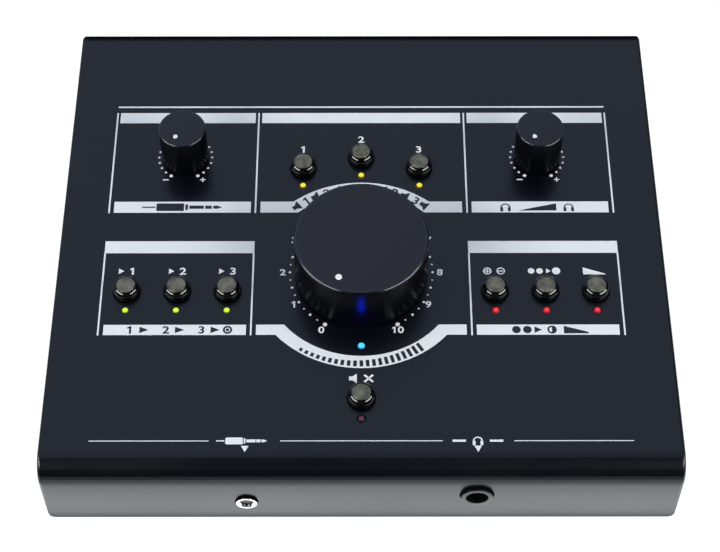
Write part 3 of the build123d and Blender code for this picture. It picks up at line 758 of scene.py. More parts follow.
def outlines(bm):
    """Boxes, bars and the two curved bands round the master dial."""
    for half, row in ((91.7, HEAD_LINE), (37.25, HEAD_BAR), (27.2, FOOT_LINE)):
        bar(bm, -half, half, *row)
    bars = (
        (39.7, 90.6, HEAD_BAR), (40.2, 90.0, UPPER_BAR), (38.3, 91.9, MIDDLE_BAR), (40.2, 89.9, LOWER_BAR),
        (51.2, 91.4, FOOT_LINE),
    )
    for side in (-1, 1):
        for near, far, row in bars:
            mirrored_bar(bm, side, near, far, *row)
        for u in BOX_SIDES:
            for row in (UPPER_BOX, LOWER_BOX):
                mirrored_bar(bm, side, u - BOX_LINE / 2, u + BOX_LINE / 2, *row)
        u = side * JACK_U
        shape(bm, [(u, 7.7), (u + 1.3, 10.1), (u - 1.3, 10.1)])
    inner, outer = BAND
    for near, far, middle, flip in ((106.2, 111.1, 0, 1), (58.0, 53.8, 180, -1)):
        a = flip * math.degrees(math.acos(abs(near - MASTER_V) / inner))
        b = flip * math.degrees(math.acos(abs(far - MASTER_V) / outer))
        inside = arc(MASTER_AT, inner, middle - a, middle + a)
        outside = arc(MASTER_AT, outer, middle + b, middle - b)
        shape(bm, [(-BAND_END, near), *inside, (BAND_END, near), (BAND_END, far), *outside, (-BAND_END, far)])


DIAL_START = -150.0  # degrees from straight up
DOT_RING = 25.35
NUMERAL_RING = 27.9
SMALL_RING = 9.82


def dial_marks(bm, numeral):
    """Dots and numerals of the master dial, and the dots of the two small ones."""
    for k in range(41):
        width = 1.55 if k in (0, 40) else 0.95 if k % 2 == 0 else 0.6
        dot(bm, *on_circle(MASTER_AT, DOT_RING, DIAL_START + 7.5 * k), width)
    for k in range(11):
        nearer = 0.7 if k in (1, 9) else 0.0
        u, v = on_circle(MASTER_AT, NUMERAL_RING - nearer, DIAL_START + 30.0 * k)
        shift = 0.9 if k == 10 else 0.0
        digits(bm, str(k), at(u - shift, v), numeral)
    for u, v in SMALL_AT.values():
        for k in range(21):
            width = 1.3 if k in (0, 20) else 0.9
            dot(bm, *on_circle((u, v), SMALL_RING, DIAL_START + 15.0 * k), width, 14)
        bar(bm, u - 7.9, u - 5.7, v - 10.55, v - 10.05)
        bar(bm, u + 5.8, u + 7.8, v - 10.5, v - 10.1)
        for low, high in ((-11.3, -10.5), (-10.1, -9.3)):
            bar(bm, u + 6.6, u + 7.0, v + low, v + high)


def arrow(bm, u, v, height, length=None):
    """Solid arrowhead that points to the right."""
    length = length or height * 0.8
    shape(bm, [(u, v - height / 2), (u + length, v), (u, v + height / 2)])


def loudspeaker(bm, place, height):
    """Driver in a small magnet: a square back and a flared cone, drawn round its own middle."""
    h = height / 2
    neck = ((-h * 0.35, -h * 0.42), (-h * 0.35, h * 0.42))
    shape_at(bm, place, [(-h, -h * 0.42), *neck, (-h, h * 0.42)])
    shape_at(bm, place, [neck[0], (h * 0.45, -h), (h * 0.45, h), neck[1]])


def headphones(bm, u, v, height):
    """Band over two ear cups."""
    ring(bm, u, v - height * 0.05, height, height * 0.13, -90, 90)
    for side in (-1, 1):
        x = u + side * height * 0.38
        bar(bm, x - height * 0.14, x + height * 0.14, v - height * 0.5, v - height * 0.02)


def plug(bm, u, v, length, height):
    """Side view of a jack plug that points to the right: cord end, handle, collar, shaft and tip."""
    h = height / 2
    left = u - length / 2
    grip = left + length * 0.42
    handle = ((left, v - h, 0.5), (grip, v - h, 0.3), (grip, v + h, 0.3), (left, v + h, 0.5))
    shape(bm, rounded(*handle, closed=True, steps=4))
    for start, end, half in ((0.44, 0.48, 0.75), (0.50, 0.72, 0.42), (0.74, 0.84, 0.42)):
        bar(bm, left + length * start, left + length * end, v - h * half, v + h * half)
    neck = left + length * 0.86
    barb = left + length * 0.91
    point = (left + length, v)
    shape(bm, [(neck, v - h * 0.3), (barb, v - h * 0.45), point, (barb, v + h * 0.45), (neck, v + h * 0.3)])
    bar(bm, left - length * 0.22, left - 0.3, v - h * 0.16, v + h * 0.16)


def ramp(bm, u, v, length, height):
    """Level wedge that rises to the right."""
    low = v - height / 2
    right = u + length / 2
    shape(bm, [(u - length / 2, low), (right, low), (right, v + height / 2)])


SIGN_ROW = 80.5  # above the source and mix buttons
MUTE_ROW = 36.2
UPPER_ROW = 108.6  # middles of the light bars
LOWER_ROW = 55.85
FOOT_ROW = 11.95
SIGN_RING = 37.2  # radius of the signs on the curved bands
SIGN_LAYERS = 1.7  # thickness of the dark signs, which lie on the light print


def button_signs(bm, height):
    """Signs above the buttons: numbered sources and speakers, and simple signs for the rest."""
    v = SIGN_ROW
    for k in range(3):
        number = str(k + 1)
        u = BUTTON_AT[f"source_{number}"][0]
        arrow(bm, u - 3.4, v, height * 0.8)
        digits(bm, number, at(u + 1.6, v), height)
        u, row = BUTTON_AT[f"speaker_{number}"]
        digits(bm, number, at(u, row + 8.6), height)
    u = BUTTON_AT["mix_1"][0]
    for side in (-1, 1):
        ring(bm, u + side * 2.4, v, height, 0.45)
        bar(bm, u + side * 2.4 - 0.85, u + side * 2.4 + 0.85, v - 0.22, v + 0.22)
    for low, high in ((-0.85, -0.22), (0.22, 0.85)):
        bar(bm, u - 2.62, u - 2.18, v + low, v + high)
    u = BUTTON_AT["mix_2"][0]
    for offset in (-4.6, -1.6):
        dot(bm, u + offset, v, height * 0.8)
    arrow(bm, u + 0.7, v, height * 0.7, 1.6)
    dot(bm, u + 4.3, v, height)
    u = BUTTON_AT["mix_3"][0]
    low = v - height / 2
    shape(bm, [(u - 4.0, v + height / 2), (u - 4.0, low), (u + 4.0, low), (u + 4.0, low + 0.3)])
    loudspeaker(bm, at(-2.4, MUTE_ROW), height * 1.25)
    for tilt in (-1, 1):
        stroke(bm, (1.0, MUTE_ROW - tilt * 1.4), (4.0, MUTE_ROW + tilt * 1.4), 0.75)


def bar_signs(bm):
    """Dark signs on the light bars and bands."""
    plug(bm, -62.6, UPPER_ROW, 24.0, 3.4)
    for u in (52.5, 75.5):
        headphones(bm, u, UPPER_ROW - 0.1, 3.6)
    ramp(bm, 64.0, UPPER_ROW, 14.0, 3.2)
    for k in range(3):
        u = -80.5 + 12.4 * k
        digits(bm, str(k + 1), at(u, LOWER_ROW), 3.1)
        arrow(bm, u + 3.2, LOWER_ROW, 2.6, 3.2)
    ring(bm, -46.6, LOWER_ROW, 3.3, 0.7)
    dot(bm, -46.6, LOWER_ROW, 1.2)
    for u in (54.0, 57.8):
        dot(bm, u, LOWER_ROW, 3.0)
    arrow(bm, 60.3, LOWER_ROW, 2.6, 2.6)
    ring(bm, 66.4, LOWER_ROW, 3.3, 0.65)
    ring(bm, 66.4, LOWER_ROW, 3.3, 1.65, 0, 180)
    shape(bm, [(70.5, 57.4), (70.5, 54.3), (79.0, 54.3), (79.0, 54.9)])
    angles = (-38.5, -26.0, -13.0, 0.0, 13.0, 26.0, 38.5)
    for k, angle in enumerate(angles):
        loudspeaker(bm, on_arc(SIGN_RING, angle), 4.1)
        if k < len(angles) - 1:
            digits(bm, str(k % 3 + 1), on_arc(SIGN_RING + 0.05, angle + 6.3), 3.3)
    for k in range(21):
        top = -0.5 + 2.3 * k / 20
        place = on_arc(SIGN_RING + 0.05, 213.0 - 3.3 * k) @ spun(180)
        shape_at(bm, place, [(-0.6, -1.8), (0.6, -1.8), (0.6, top), (-0.6, top)])


class CONTROLLER_OT_print(bpy.types.Operator):
    """Screen print of the panel: outlines, dials, numerals and plain signs"""

    bl_idname = "controller.print"
    bl_label = "Print"

    def execute(self, context):
        settings = context.scene.controller.print
        marks = bmesh.new()
        outlines(marks)
        dial_marks(marks, settings.numeral / MM)
        button_signs(marks, settings.label / MM)
        plug(marks, 0.4 - JACK_U, FOOT_ROW, 14.0, 2.6)
        headphones(marks, JACK_U, FOOT_ROW, 3.4)
        for u in (JACK_U - 8.5, JACK_U + 4.0):
            bar(marks, u, u + 4.5, FOOT_ROW - 0.4, FOOT_ROW + 0.4)
        thickness = settings.thickness / MM
        light = ink("print_light", settings.ink)
        piece("panel_print", raised(marks, thickness), PANEL, light, "casing")
        signs = bmesh.new()
        bar_signs(signs)
        dark = ink("print_dark", (0.012, 0.013, 0.018))
        piece("panel_signs", raised(signs, thickness * SIGN_LAYERS), PANEL, dark, "casing")
        return {"FINISHED"}


# ------------------------------------------------------------------ knobs
MASTER_POINTER = -155.0  # degrees from straight up
SMALL_POINTER = -150.0
# Wall, crown, hub radius, rim, distance and width of the pointer dot, sides of the spun form.
MASTER_FORM = (2.6, 4.0, 7.0, 1.0, 18.2, 2.4, 128)
SMALL_FORM = (1.8, 3.5, 4.6, 0.6, 4.4, 1.76, 80)
HUB_LOW = 5.4
SHAFT = 3.0  # radius
DOT_DEEP = 0.5
TOP_FACE = 1  # places in the knobs' list of materials
RIM_FACE = 2


def knob_body(radius, height, gap, wall, crown, hub, rim):
    """Hollow knob with a bored hub and a rounded rim."""
    ceiling = height - crown
    inside = radius - wall
    return rounded(
        (0, height), (radius, height, rim), (radius, gap, 0.3), (inside, gap, 0.3), (inside, ceiling),
        (hub, ceiling), (hub, HUB_LOW), (SHAFT, HUB_LOW), (SHAFT, ceiling), (0, ceiling),
    )


class CONTROLLER_OT_knobs(bpy.types.Operator):
    """Three knobs with satin tops, dark skirts and white pointer dots"""

    bl_idname = "controller.knobs"
    bl_label = "Knobs"

    def execute(self, context):
        knobs = context.scene.controller.knobs
        skirt = Finish("knob_skirt", knobs.side, 0.30, specular=0.1)
        skirt.life((0.5, 2.0, 0.0012), (0.06, 2.0, 0.03), (0.05, 2.0, 0.05)).spun_sheen(0.5)
        top = Finish("knob_top", knobs.top, 0.42)
        top.bump(top.noise(1.8), 0.005).grooves(0.22, 0.0012).rough(top.noise(0.05), 0.04)
        rim_shine = Finish("knob_rim", knobs.rim, 0.2, metallic=1.0)
        rim_shine.life((1.8, 2.0, 0.001), (0.3, 2.0, 0.03), (0.2, 2.0, 0.05))
        white = ink("pointer_inlay", (0.86, 0.88, 0.90))
        materials = [skirt.material, top.material, rim_shine.material]
        gap = knobs.gap / MM
        forms = [("master", MASTER_AT, knobs.master, knobs.master_height, MASTER_POINTER, MASTER_FORM)]
        for name, spot in SMALL_AT.items():
            forms.append((name, spot, knobs.small, knobs.small_height, SMALL_POINTER, SMALL_FORM))
        for name, spot, wide, tall, pointer, form in forms:
            wall, crown, hub, rim, reach, dot_wide, steps = form
            radius = wide / 2 / MM
            height = tall / MM
            pocket = at(*on_circle((0, 0), reach, pointer))
            deep = height - DOT_DEEP
            body = lathe(knob_body(radius, height, gap, wall, crown, hub, rim), steps)
            body = carved(body, placed(rod(dot_wide / 2 + 0.03, deep, height + 1, 32), pocket))
            for face in body.faces:
                middle = face.calc_center_median()
                if middle.z > height - rim and math.hypot(middle.x, middle.y) > radius - rim:
                    face.material_index = RIM_FACE
                elif middle.z > height - 0.05:
                    face.material_index = TOP_FACE
            turned_uv(body)
            place = PANEL @ at(*spot)
            owner = f"{name}_knob"
            piece(f"{name}_knob_form", body, place, materials, owner, [owner])
            side = dot_wide / 2
            top_edge = (side, height + 0.02, 0.12)
            inlay = lathe(rounded((0, deep), (side, deep), top_edge, (0, height + 0.03), steps=3), 32)
            inlay = placed(inlay, pocket)
            piece(f"{name}_pointer", inlay, place, white, owner, [f"{name}_indicator"])
        return {"FINISHED"}


# ------------------------------------------------------------------ buttons
DISC_DEEP = 0.25
CAP_LOW = -4.0
STEM = (-1.75, 1.75)


class CONTROLLER_OT_buttons(bpy.types.Operator):
    """Ten glossy push buttons with spun metal inserts"""

    bl_idname = "controller.buttons"
    bl_label = "Buttons"

    def execute(self, context):
        buttons = context.scene.controller.buttons
        black = Finish("button_gloss", buttons.black, 0.10, specular=0.15)
        black.bump(black.noise(0.12, detail=1.0), 0.003).rough(black.noise(0.2), 0.03)
        black.set("Coat Weight", 1.0).set("Coat IOR", 1.6).set("Coat Roughness", 0.05)
        metal = Finish("button_nickel", buttons.metal, 0.30, metallic=1.0)
        metal.grooves(0.13, 0.0022).spun_sheen(0.75)
        metal.rough(metal.noise(0.6), 0.05).tone(metal.noise(0.3, detail=3.0), 0.45)
        radius = buttons.cap / 2 / MM
        height = buttons.height / MM
        shoulder = buttons.shoulder / MM
        disc = buttons.insert / 2 / MM
        deep = height - DISC_DEEP
        cap_outline = rounded(
            (0, deep), (disc + 0.02, deep), (disc + 0.02, height - 0.02, 0.02),
            (radius, height - shoulder, 2.4), (radius, CAP_LOW), (0, CAP_LOW), steps=12,
        )
        disc_outline = rounded((0, deep), (disc, deep), (disc, height, 0.12), (0, height), steps=3)
        for name, spot in BUTTON_AT.items():
            cap = joined(lathe(cap_outline, 56), block(STEM, STEM, (-15.0, -3.9)))
            insert = turned_uv(lathe(disc_outline, 56))
            place = PANEL @ at(*spot)
            owner = f"{name}_button"
            piece(f"{name}_cap_form", cap, place, black.material, owner, [f"{name}_cap"])
            piece(f"{name}_disc", insert, place, metal.material, owner, [f"{name}_insert"])
        return {"FINISHED"}


# ------------------------------------------------------------------ lamps
LAMP_GROUPS = {
    "green": ("green_leds", "lamp_green", ("source_1", "source_2", "source_3")),
    "red": ("red_leds", "lamp_red", ("mix_1", "mix_2", "mix_3")),
    "amber": ("amber_leds", "lamp_amber", ("speaker_1", "speaker_2", "speaker_3")),
    "blue": ("blue_led", "lamp_blue", ()),
    "mute": ("mute_led", "lamp_unlit", ("mute",)),
}
LAMP_TINTS = {
    "green": ((0.76, 0.96, 0.085), (0.010, 0.030, 0.001), (0.50, 0.80)),
    "red": ((1.0, 0.07, 0.08), (0.10, 0.001, 0.006), (0.15, 0.95)),
    "amber": ((0.88, 0.82, 0.085), (0.045, 0.030, 0.0015), (0.50, 0.80)),
    "blue": ((0.10, 0.76, 0.96), (0.0, 0.02, 0.12), (0.56, 0.94)),
    # The unlit mute lens has its own dark red, with a painted highlight in the middle that falls to painted
    # shade at the rim.
    "mute": ((0.13, 0.045, 0.07), (0.004, 0.0008, 0.002), (0.35, 0.80)),
}
SPILL_RISE = 4.0  # height of the blue lamp's light above the panel
SPILL_AIM = 14.0  # height of the place on the knob it looks at


class CONTROLLER_OT_lamps(bpy.types.Operator):
    """Domed 3 mm lamps, lit except for the mute lamp"""

    bl_idname = "controller.lamps"
    bl_label = "Lamps"

    def execute(self, context):
        lamps = context.scene.controller.lamps
        radius = lamps.lens / 2 / MM
        rise = lamps.rise / MM
        outline = rounded((0, -5.4), (radius, -5.4), (radius, rise, 0.85), (0, rise), steps=8)
        for colour, (node, slot, names) in LAMP_GROUPS.items():
            spots = [LAMP_AT[name] for name in names] or [POWER_LAMP_AT]
            domes = [placed(turned_uv(lathe(outline, 32), walls=False), at(*spot)) for spot in spots]
            core, rim, spread = LAMP_TINTS[colour]
            strength = 0.0 if colour == "mute" else lamps.power
            glass = lens(f"lamp_{colour}", core, rim, spread, radius, strength)
            group = piece(f"lamps_{colour}", joined(*domes), PANEL, glass, "casing", [node])
            group.visible_glossy = False
        skirt = PANEL @ Vector((0.0, MASTER_V - context.scene.controller.knobs.master / 2 / MM, SPILL_AIM))
        above = PANEL @ Vector((*POWER_LAMP_AT, SPILL_RISE))
        spill = lamp("blue_spill", lamps.spill, 3.6 * MM, 2.0 * MM, above, skirt)
        spill.data.color = (0.0, 0.02, 1.0)
        spill.visible_camera = False
        return {"FINISHED"}


# ------------------------------------------------------------------ front sockets
def shade(bm):
    """Paint shade on a spun form's walls and bore: they get the second material, a near-black painted shade,
    and the first stays on its open face.
    """
    bm.normal_update()
    for face in bm.faces:
        face.material_index = int(face.normal.z < STEEP)


class CONTROLLER_OT_front_sockets(bpy.types.Operator):
    """Headphone socket and plated 3.5 mm socket in the front face"""

    bl_idname = "controller.front_sockets"
    bl_label = "Front sockets"

    def execute(self, context):
        plastic = moulded("socket_black", (0.012, 0.012, 0.013), 0.30)
        chrome = plated("socket_chrome", (0.86, 0.86, 0.87), 0.16)
        spring = plated("contact_spring", (0.70, 0.68, 0.62), 0.25)
        # Near-black, dull finish that stands for shade: painted shade on the walls and bores of the sockets,
        # where the recesses fall dark.
        painted_shade_finish = Finish("socket_painted_shade", (0.0008, 0.0009, 0.001), 0.6, specular=0.06)
        dark = painted_shade_finish.life((1.2, 2.0, 0.004), (0.1, 2.0, 0.05), (0.1, 2.0, 0.1)).material
        nose = rounded(
            (5.4, -1.7), (5.4, 1.3, 0.25), (3.84, 1.3, 0.1), (3.7, 0.0), (3.25, -1.0),
            (3.25, -29.5), (5.4, -29.5), steps=4,
        )
        barrel = lathe(nose, 72, closed=True)
        shade(barrel)
        plastic_and_painted_shade = [plastic, dark]
        place = FRONT @ at(*PHONES_AT)
        housing = carved(block((-7.75, 7.75), (-8.0, 6.0), (-31.5, -1.7)), rod(5.3, -29.4, 0, 48))
        form = joined(barrel, housing)
        piece("phones_socket_form", form, place, plastic_and_painted_shade, "casing", ["phones_socket"])
        leaf = soften(block((-0.9, 0.9), (2.55, 2.85), (-9.0, -2.6)), 0.08)
        piece("phones_contact", leaf, place, spring, "casing")
        place = FRONT @ at(*AUX_AT)
        rim = rounded(
            (3.6, -1.7), (3.6, 0.95, 0.2), (2.75, 0.95, 0.2), (2.2, 0.3, 0.1), (2.15, -1.7), steps=5
        )
        bush = lathe(rim, 64, closed=True)
        # The chrome bush's walls and bore take the painted shade, not chrome.
        shade(bush)
        piece("aux_socket_bush", bush, place, [chrome, dark], "casing", ["aux_socket_ring"])
        outside = [(1.8, 0.0), (2.1, 0.0), (2.1, -1.75), (2.6, -1.75), (2.6, -14.0)]
        tube = lathe([*outside, (0, -14.0), (0, -13.6), (1.8, -13.6)], 40)
        bmesh.ops.holes_fill(tube, edges=[e for e in tube.edges if e.is_boundary], sides=0)
        shade(tube)
        box = carved(block((-5.5, 5.5), (-3.25, 3.25), (-15.0, -1.7)), rod(2.5, -13.9, 0, 40))
        form = joined(tube, box)
        piece("aux_socket_form", form, place, plastic_and_painted_shade, "casing", ["aux_socket"])
        return {"FINISHED"}


# ------------------------------------------------------------------ rear connectors
COMBO_SCREWS = ((-9.5, 12.0), (9.5, -12.0))
THREAD_PITCH = 0.5


def round_box(half_wide, half_tall, radius):
    """Outline of a rectangle with rounded corners."""
    signs = ((-1, -1), (1, -1), (1, 1), (-1, 1))
    return rounded(*[(x * half_wide, y * half_tall, radius) for x, y in signs], closed=True)


def jack_nose(reach):
    """Threaded nose with the plug's bore through it."""
    thread = []
    for k in range(int((reach - 0.6) / THREAD_PITCH)):
        thread += [(5.9, 0.2 + k * THREAD_PITCH), (5.68, 0.45 + k * THREAD_PITCH)]
    tip = [(5.9, reach - 0.4), (5.6, reach), (3.45, reach), (3.25, reach - 0.2)]
    return lathe([(5.9, -1.7), *thread, *tip, (3.25, -20.0), (5.9, -20.0)], 56, closed=True)


def hex_nut(flats, bore, thick):
    """Hexagon nut with its corners turned off and a bored middle."""
    corner = flats / 2 / math.cos(math.pi / 6)
    turns = [math.radians(60 * k) for k in range(6)]
    six = slab([(corner * math.cos(turn), corner * math.sin(turn)) for turn in turns], 0, thick)
    past = corner + 1
    dome = lathe([(0, 0), (past, 0), (past, thick - 0.55), (flats / 2 - 0.3, thick), (0, thick)], 48)
    nut = carved(six, dome, operation="INTERSECT")
    return carved(nut, rod(bore, -1, thick + 1, 48))


def combo_form():
    """Combination socket: flange, latch ring, locking-plug slot and jack bore."""
    flange = soften(slab(round_box(13.0, 15.5, 2.5), 0.0, 2.0), 0.35)
    outer = rounded((11.8, -24), (11.8, 3.4, 0.5), (9.6, 3.4, 0.3), (9.6, -14), (0, -14), (0, -24), steps=4)
    inner = rounded((3.25, -13.9), (3.25, 2.6, 0.4), (8.0, 2.6, 0.4), (8.0, -14.1), (3.25, -14.1), steps=4)
    collar = lathe(outer, 72)
    core = lathe(inner, 64)
    bmesh.ops.holes_fill(core, edges=[e for e in core.edges if e.is_boundary], sides=0)
    drills = [placed(rod(1.2, -10, 4, 20), spun(a) @ at(5.7, 0)) for a in (30, 150, 270)]
    core = carved(core, *drills)
    screws = [placed(rod(1.65, -1, 3, 20), at(*spot)) for spot in COMBO_SCREWS]
    flange = carved(flange, *screws, rod(11.5, -1, 3, 48))
    latch = soften(block((-2.6, 2.6), (9.0, 12.6), (1.9, 3.0)), 0.3)
    return joined(flange, collar, core, latch)


class CONTROLLER_OT_rear(bpy.types.Operator):
    """Rear connectors: line outputs, combination inputs, phono inputs, power inlet and rocker"""

    bl_idname = "controller.rear"
    bl_label = "Rear connectors"

    def execute(self, context):
        plastic = moulded("connector_black", (0.013, 0.013, 0.014), 0.34)
        nickel = plated("nut_nickel", (0.72, 0.71, 0.68), 0.24)
        gold = plated("phono_gold", (0.83, 0.62, 0.28), 0.2)
        outputs = [at(-x, JACK_Z) for x in OUTPUT_X]

        def jack():
            housing = block((-7.75, 7.75), (-8.0, 7.5), (-31.5, -1.7))
            return joined(jack_nose(3.6), carved(housing, rod(5.8, -19.9, 0, 48)))

        jacks = repeated(jack, outputs)
        piece("output_jack_forms", jacks, REAR, plastic, "casing", ["output_jacks"])
        nuts = repeated(lambda: hex_nut(15.0, 5.95, 2.2), outputs)
        piece("output_nut_forms", nuts, REAR, nickel, "casing", ["output_jack_nuts"])
        combos = repeated(combo_form, [at(-x, COMBO_Z) for x in COMBO_X])
        piece("combo_forms", combos, REAR, plastic, "casing", ["combo_sockets"])

        phono = [at(-PHONO_X, z) for z in PHONO_Z]
        body = block((-PHONO_X - 6.5, -PHONO_X + 6.5), (MAIN_BOARD_TOP, MAIN_BOARD_TOP + 29.0), (-12, -1.7))
        body = carved(body, *[placed(rod(4.2, -10, 1, 48), place) for place in phono])
        collar = rounded((4.2, -2), (4.2, 1.2, 0.2), (5.1, 1.2, 0.3), (5.1, -2), steps=3)
        body = joined(body, repeated(lambda: lathe(collar, 48, closed=True), phono))
        piece("phono_block_form", body, REAR, plastic, "casing", ["phono_block"])
        barrel = rounded(
            (1.65, -8), (1.65, 8.6), (2.0, 9.0, 0.2), (3.75, 9.0, 0.3), (4.15, 8.6, 0.3), (4.15, -9), (0, -9),
            (0, -8), steps=3,
        )
        barrels = repeated(lambda: lathe(barrel, 48, closed=True), phono)
        piece("phono_barrel_forms", barrels, REAR, gold, "casing", ["phono_barrels"])

        place = at(-DC_X, DC_Z)
        mouth = rounded((4.1, -1.8), (4.1, 0.4, 0.15), (3.15, 0.4, 0.15), (3.15, -10), (4.1, -10), steps=3)
        housing = carved(block((-4.7, 4.7), (-6.5, 5.0), (-14, -1.7)), rod(4.05, -9.9, 0, 40))
        inlet = placed(joined(lathe(mouth, 48, closed=True), housing), place)
        dc_pin = lathe(rounded((0, -11), (1.0, -11), (1.0, -1.0, 0.4), (0, -1.0), steps=4), 32)
        piece("dc_inlet_form", inlet, REAR, plastic, "casing", ["dc_inlet"])
        piece("dc_inlet_pin", placed(dc_pin, place), REAR, nickel, "casing")
        return {"FINISHED"}


FRAME_HALF = (6.45, 9.6)  # half the rocker's opening, across and up
FRAME_RIM = 1.1
KEY_REACH = 7.9
KEY_HALF = 5.2
KEY_TILT = 9.0  # degrees at rest
MARK_AT = (4.9, 4.42)


class CONTROLLER_OT_rocker(bpy.types.Operator):
    """Power rocker with its snap-in frame and plain on and off marks"""

    bl_idname = "controller.rocker"
    bl_label = "Power rocker"

    def execute(self, context):
        frame_finish = moulded("rocker_frame_black", (0.012, 0.012, 0.013), 0.36)
        gloss = moulded("rocker_gloss", (0.009, 0.009, 0.010), 0.16, depth=0.003)
        place = REAR @ at(-ROCKER_X, ROCKER_Z)
        wide, tall = FRAME_HALF
        bezel = soften(slab(round_box(wide + FRAME_RIM, tall + FRAME_RIM, 0.8), 0, 1.5), 0.3)
        box = block((0.1 - wide, wide - 0.1), (0.1 - tall, tall - 0.1), (-15, 0.2))
        solid = carved(bezel, box, operation="UNION")
        solid = carved(solid, block((-5.5, 5.5), (-8.5, 8.5), (-12, 3)))
        piece("rocker_bezel", solid, place, frame_finish, "casing", ["rocker_frame"])
        side = rounded(
            (-KEY_REACH, -1.5), (-KEY_REACH, 5.0, 0.5), (0, 3.4, 9.0), (KEY_REACH, 5.0, 0.5),
            (KEY_REACH, -1.5), (2.5, -5, 0.5), (-2.5, -5, 0.5), closed=True,
        )
        key = soften(placed(slab(side, -KEY_HALF, KEY_HALF), ON_EDGE), 0.25)
        pin = placed(rod(1.0, -KEY_HALF - 0.5, KEY_HALF + 0.5, 24), spun(90, "Y"))
        pivot = place @ at(0, 0, -1.5) @ spun(KEY_TILT, "X")
        key = joined(key, pin)
        piece("rocker_key", key, pivot, gloss, "power_rocker", ["power_rocker"])
        slope = math.degrees(math.atan2(1.6, KEY_REACH))
        run, rise = MARK_AT
        stripe = bmesh.new()
        bar(stripe, -0.3, 0.3, -1.6, 1.6)
        stripe = placed(raised(stripe, 0.03), at(0, -run, rise) @ spun(-slope, "X"))
        circle = bmesh.new()
        ring(circle, 0, 0, 3.2, 0.55)
        circle = placed(raised(circle, 0.03), at(0, run, rise) @ spun(slope, "X"))
        white = ink("rocker_marks", (0.75, 0.77, 0.80))
        piece("rocker_marks", joined(stripe, circle), pivot, white, "power_rocker")
        return {"FINISHED"}


# ------------------------------------------------------------------ feet and screws
FOOT_RUN = (24.0, 20.0)  # from the front line and from the rear
FOOT_X = 92.0
FOOT_POCKET = 3.2
HEEL_X = 96.0
BOARD_X = 98.0
PILLAR_X = 99.0
PILLAR_V = (12.0, 138.0)
PILLAR_LOW = -25.6  # lower end of a pillar, from the panel's face


def crossed(head, half, line, low, high):
    """Cut a cross recess into a screw's head."""
    slots = [placed(block((-half, half), (-line, line), (low, high)), spun(turn)) for turn in (0, 90)]
    return carved(head, carved(*slots, operation="UNION"))


def pan_screw():
    """Pan-head machine screw with a cross recess."""
    head = rounded((0, 2.0), (2.0, 1.95, 1.2), (2.8, 1.2, 0.6), (2.8, 0, 0.1), (1.45, 0))
    return crossed(lathe([*head, (1.45, -6), (0, -6)], 32), 1.5, 0.28, 0.9, 3.0)


def flat_screw():
    """Countersunk screw with a cross recess, flush with the sheet."""
    outline = [(0, 0), (2.65, 0), (2.72, -0.08), (1.45, -1.3), (1.45, -5), (0, -5)]
    return crossed(lathe(outline, 32), 1.4, 0.26, -1.0, 1.0)


class CONTROLLER_OT_fasteners(bpy.types.Operator):
    """Rubber feet, pan-head screws and the countersunk screws of the cover"""

    bl_idname = "controller.fasteners"
    bl_label = "Feet and screws"

    def execute(self, context):
        cover = context.scene.controller.cover
        rear = FRONT_Y + cover.length / MM * COS
        flip = spun(180, "X")
        feet = [(x, y) for x in (-FOOT_X, FOOT_X) for y in (FRONT_Y + FOOT_RUN[0], rear - FOOT_RUN[1])]
        rubber = Finish("foot_rubber", (0.014, 0.014, 0.014), 0.75)
        rubber.life((1.5, 3.0, 0.02), (0.2, 2.0, 0.08), (0.1, 2.0, 0.1))
        outline = rounded(
            (3.2, FOOT_POCKET), (3.2, 0, 0.3), (6.8, 0, 0.6), (8.0, TRAY_Z, 0.1), (1.65, TRAY_Z),
            (1.65, FOOT_POCKET), closed=True, steps=4,
        )
        forms = repeated(lambda: lathe(outline, 56, closed=True), [at(x, y) for x, y in feet])
        piece("foot_forms", forms, ROOM, rubber.material, "casing", ["rubber_feet"])
        steel = Finish("screw_black", (0.03, 0.03, 0.032), 0.32, metallic=0.9)
        steel.life((1.0, 2.0, 0.004), (0.5, 2.0, 0.06), (0.3, 2.0, 0.08))
        places = [at(x, y, FOOT_POCKET) @ flip for x, y in feet]
        near, far = (corner.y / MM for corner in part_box("main_board"))
        places += [at(x, y, MAIN_BOARD_TOP) for x in (-BOARD_X, BOARD_X) for y in (near + 6.0, far - 36.0)]
        heel = REAR_FACE / MM - cover.sheet / MM - 6.0
        places += [at(x, heel, TRAY_Z) @ flip for x in (-HEEL_X, HEEL_X)]
        panel = TO_ROOM @ PANEL
        places += [panel @ at(x, v, PILLAR_LOW) @ flip for x in (-PILLAR_X, PILLAR_X) for v in PILLAR_V]
        combos = [(dx - x, COMBO_Z + dz) for x in COMBO_X for dx, dz in COMBO_SCREWS]
        places += [TO_ROOM @ REAR @ at(u, v, 2.0) for u, v in combos]
        pans = repeated(pan_screw, places)
        piece("pan_screw_forms", pans, ROOM, steel.material, "casing", ["pan_screws"])
        flats = repeated(flat_screw, side_places(cover.width / 2 / MM))
        piece("cover_screw_forms", flats, ROOM, steel.material, "casing", ["cover_screws"])
        return {"FINISHED"}


# ------------------------------------------------------------------ parts that stay as they are
RIBBON_WIRES = (1, 0.05, 0.05)  # noise drawn out along the ribbon


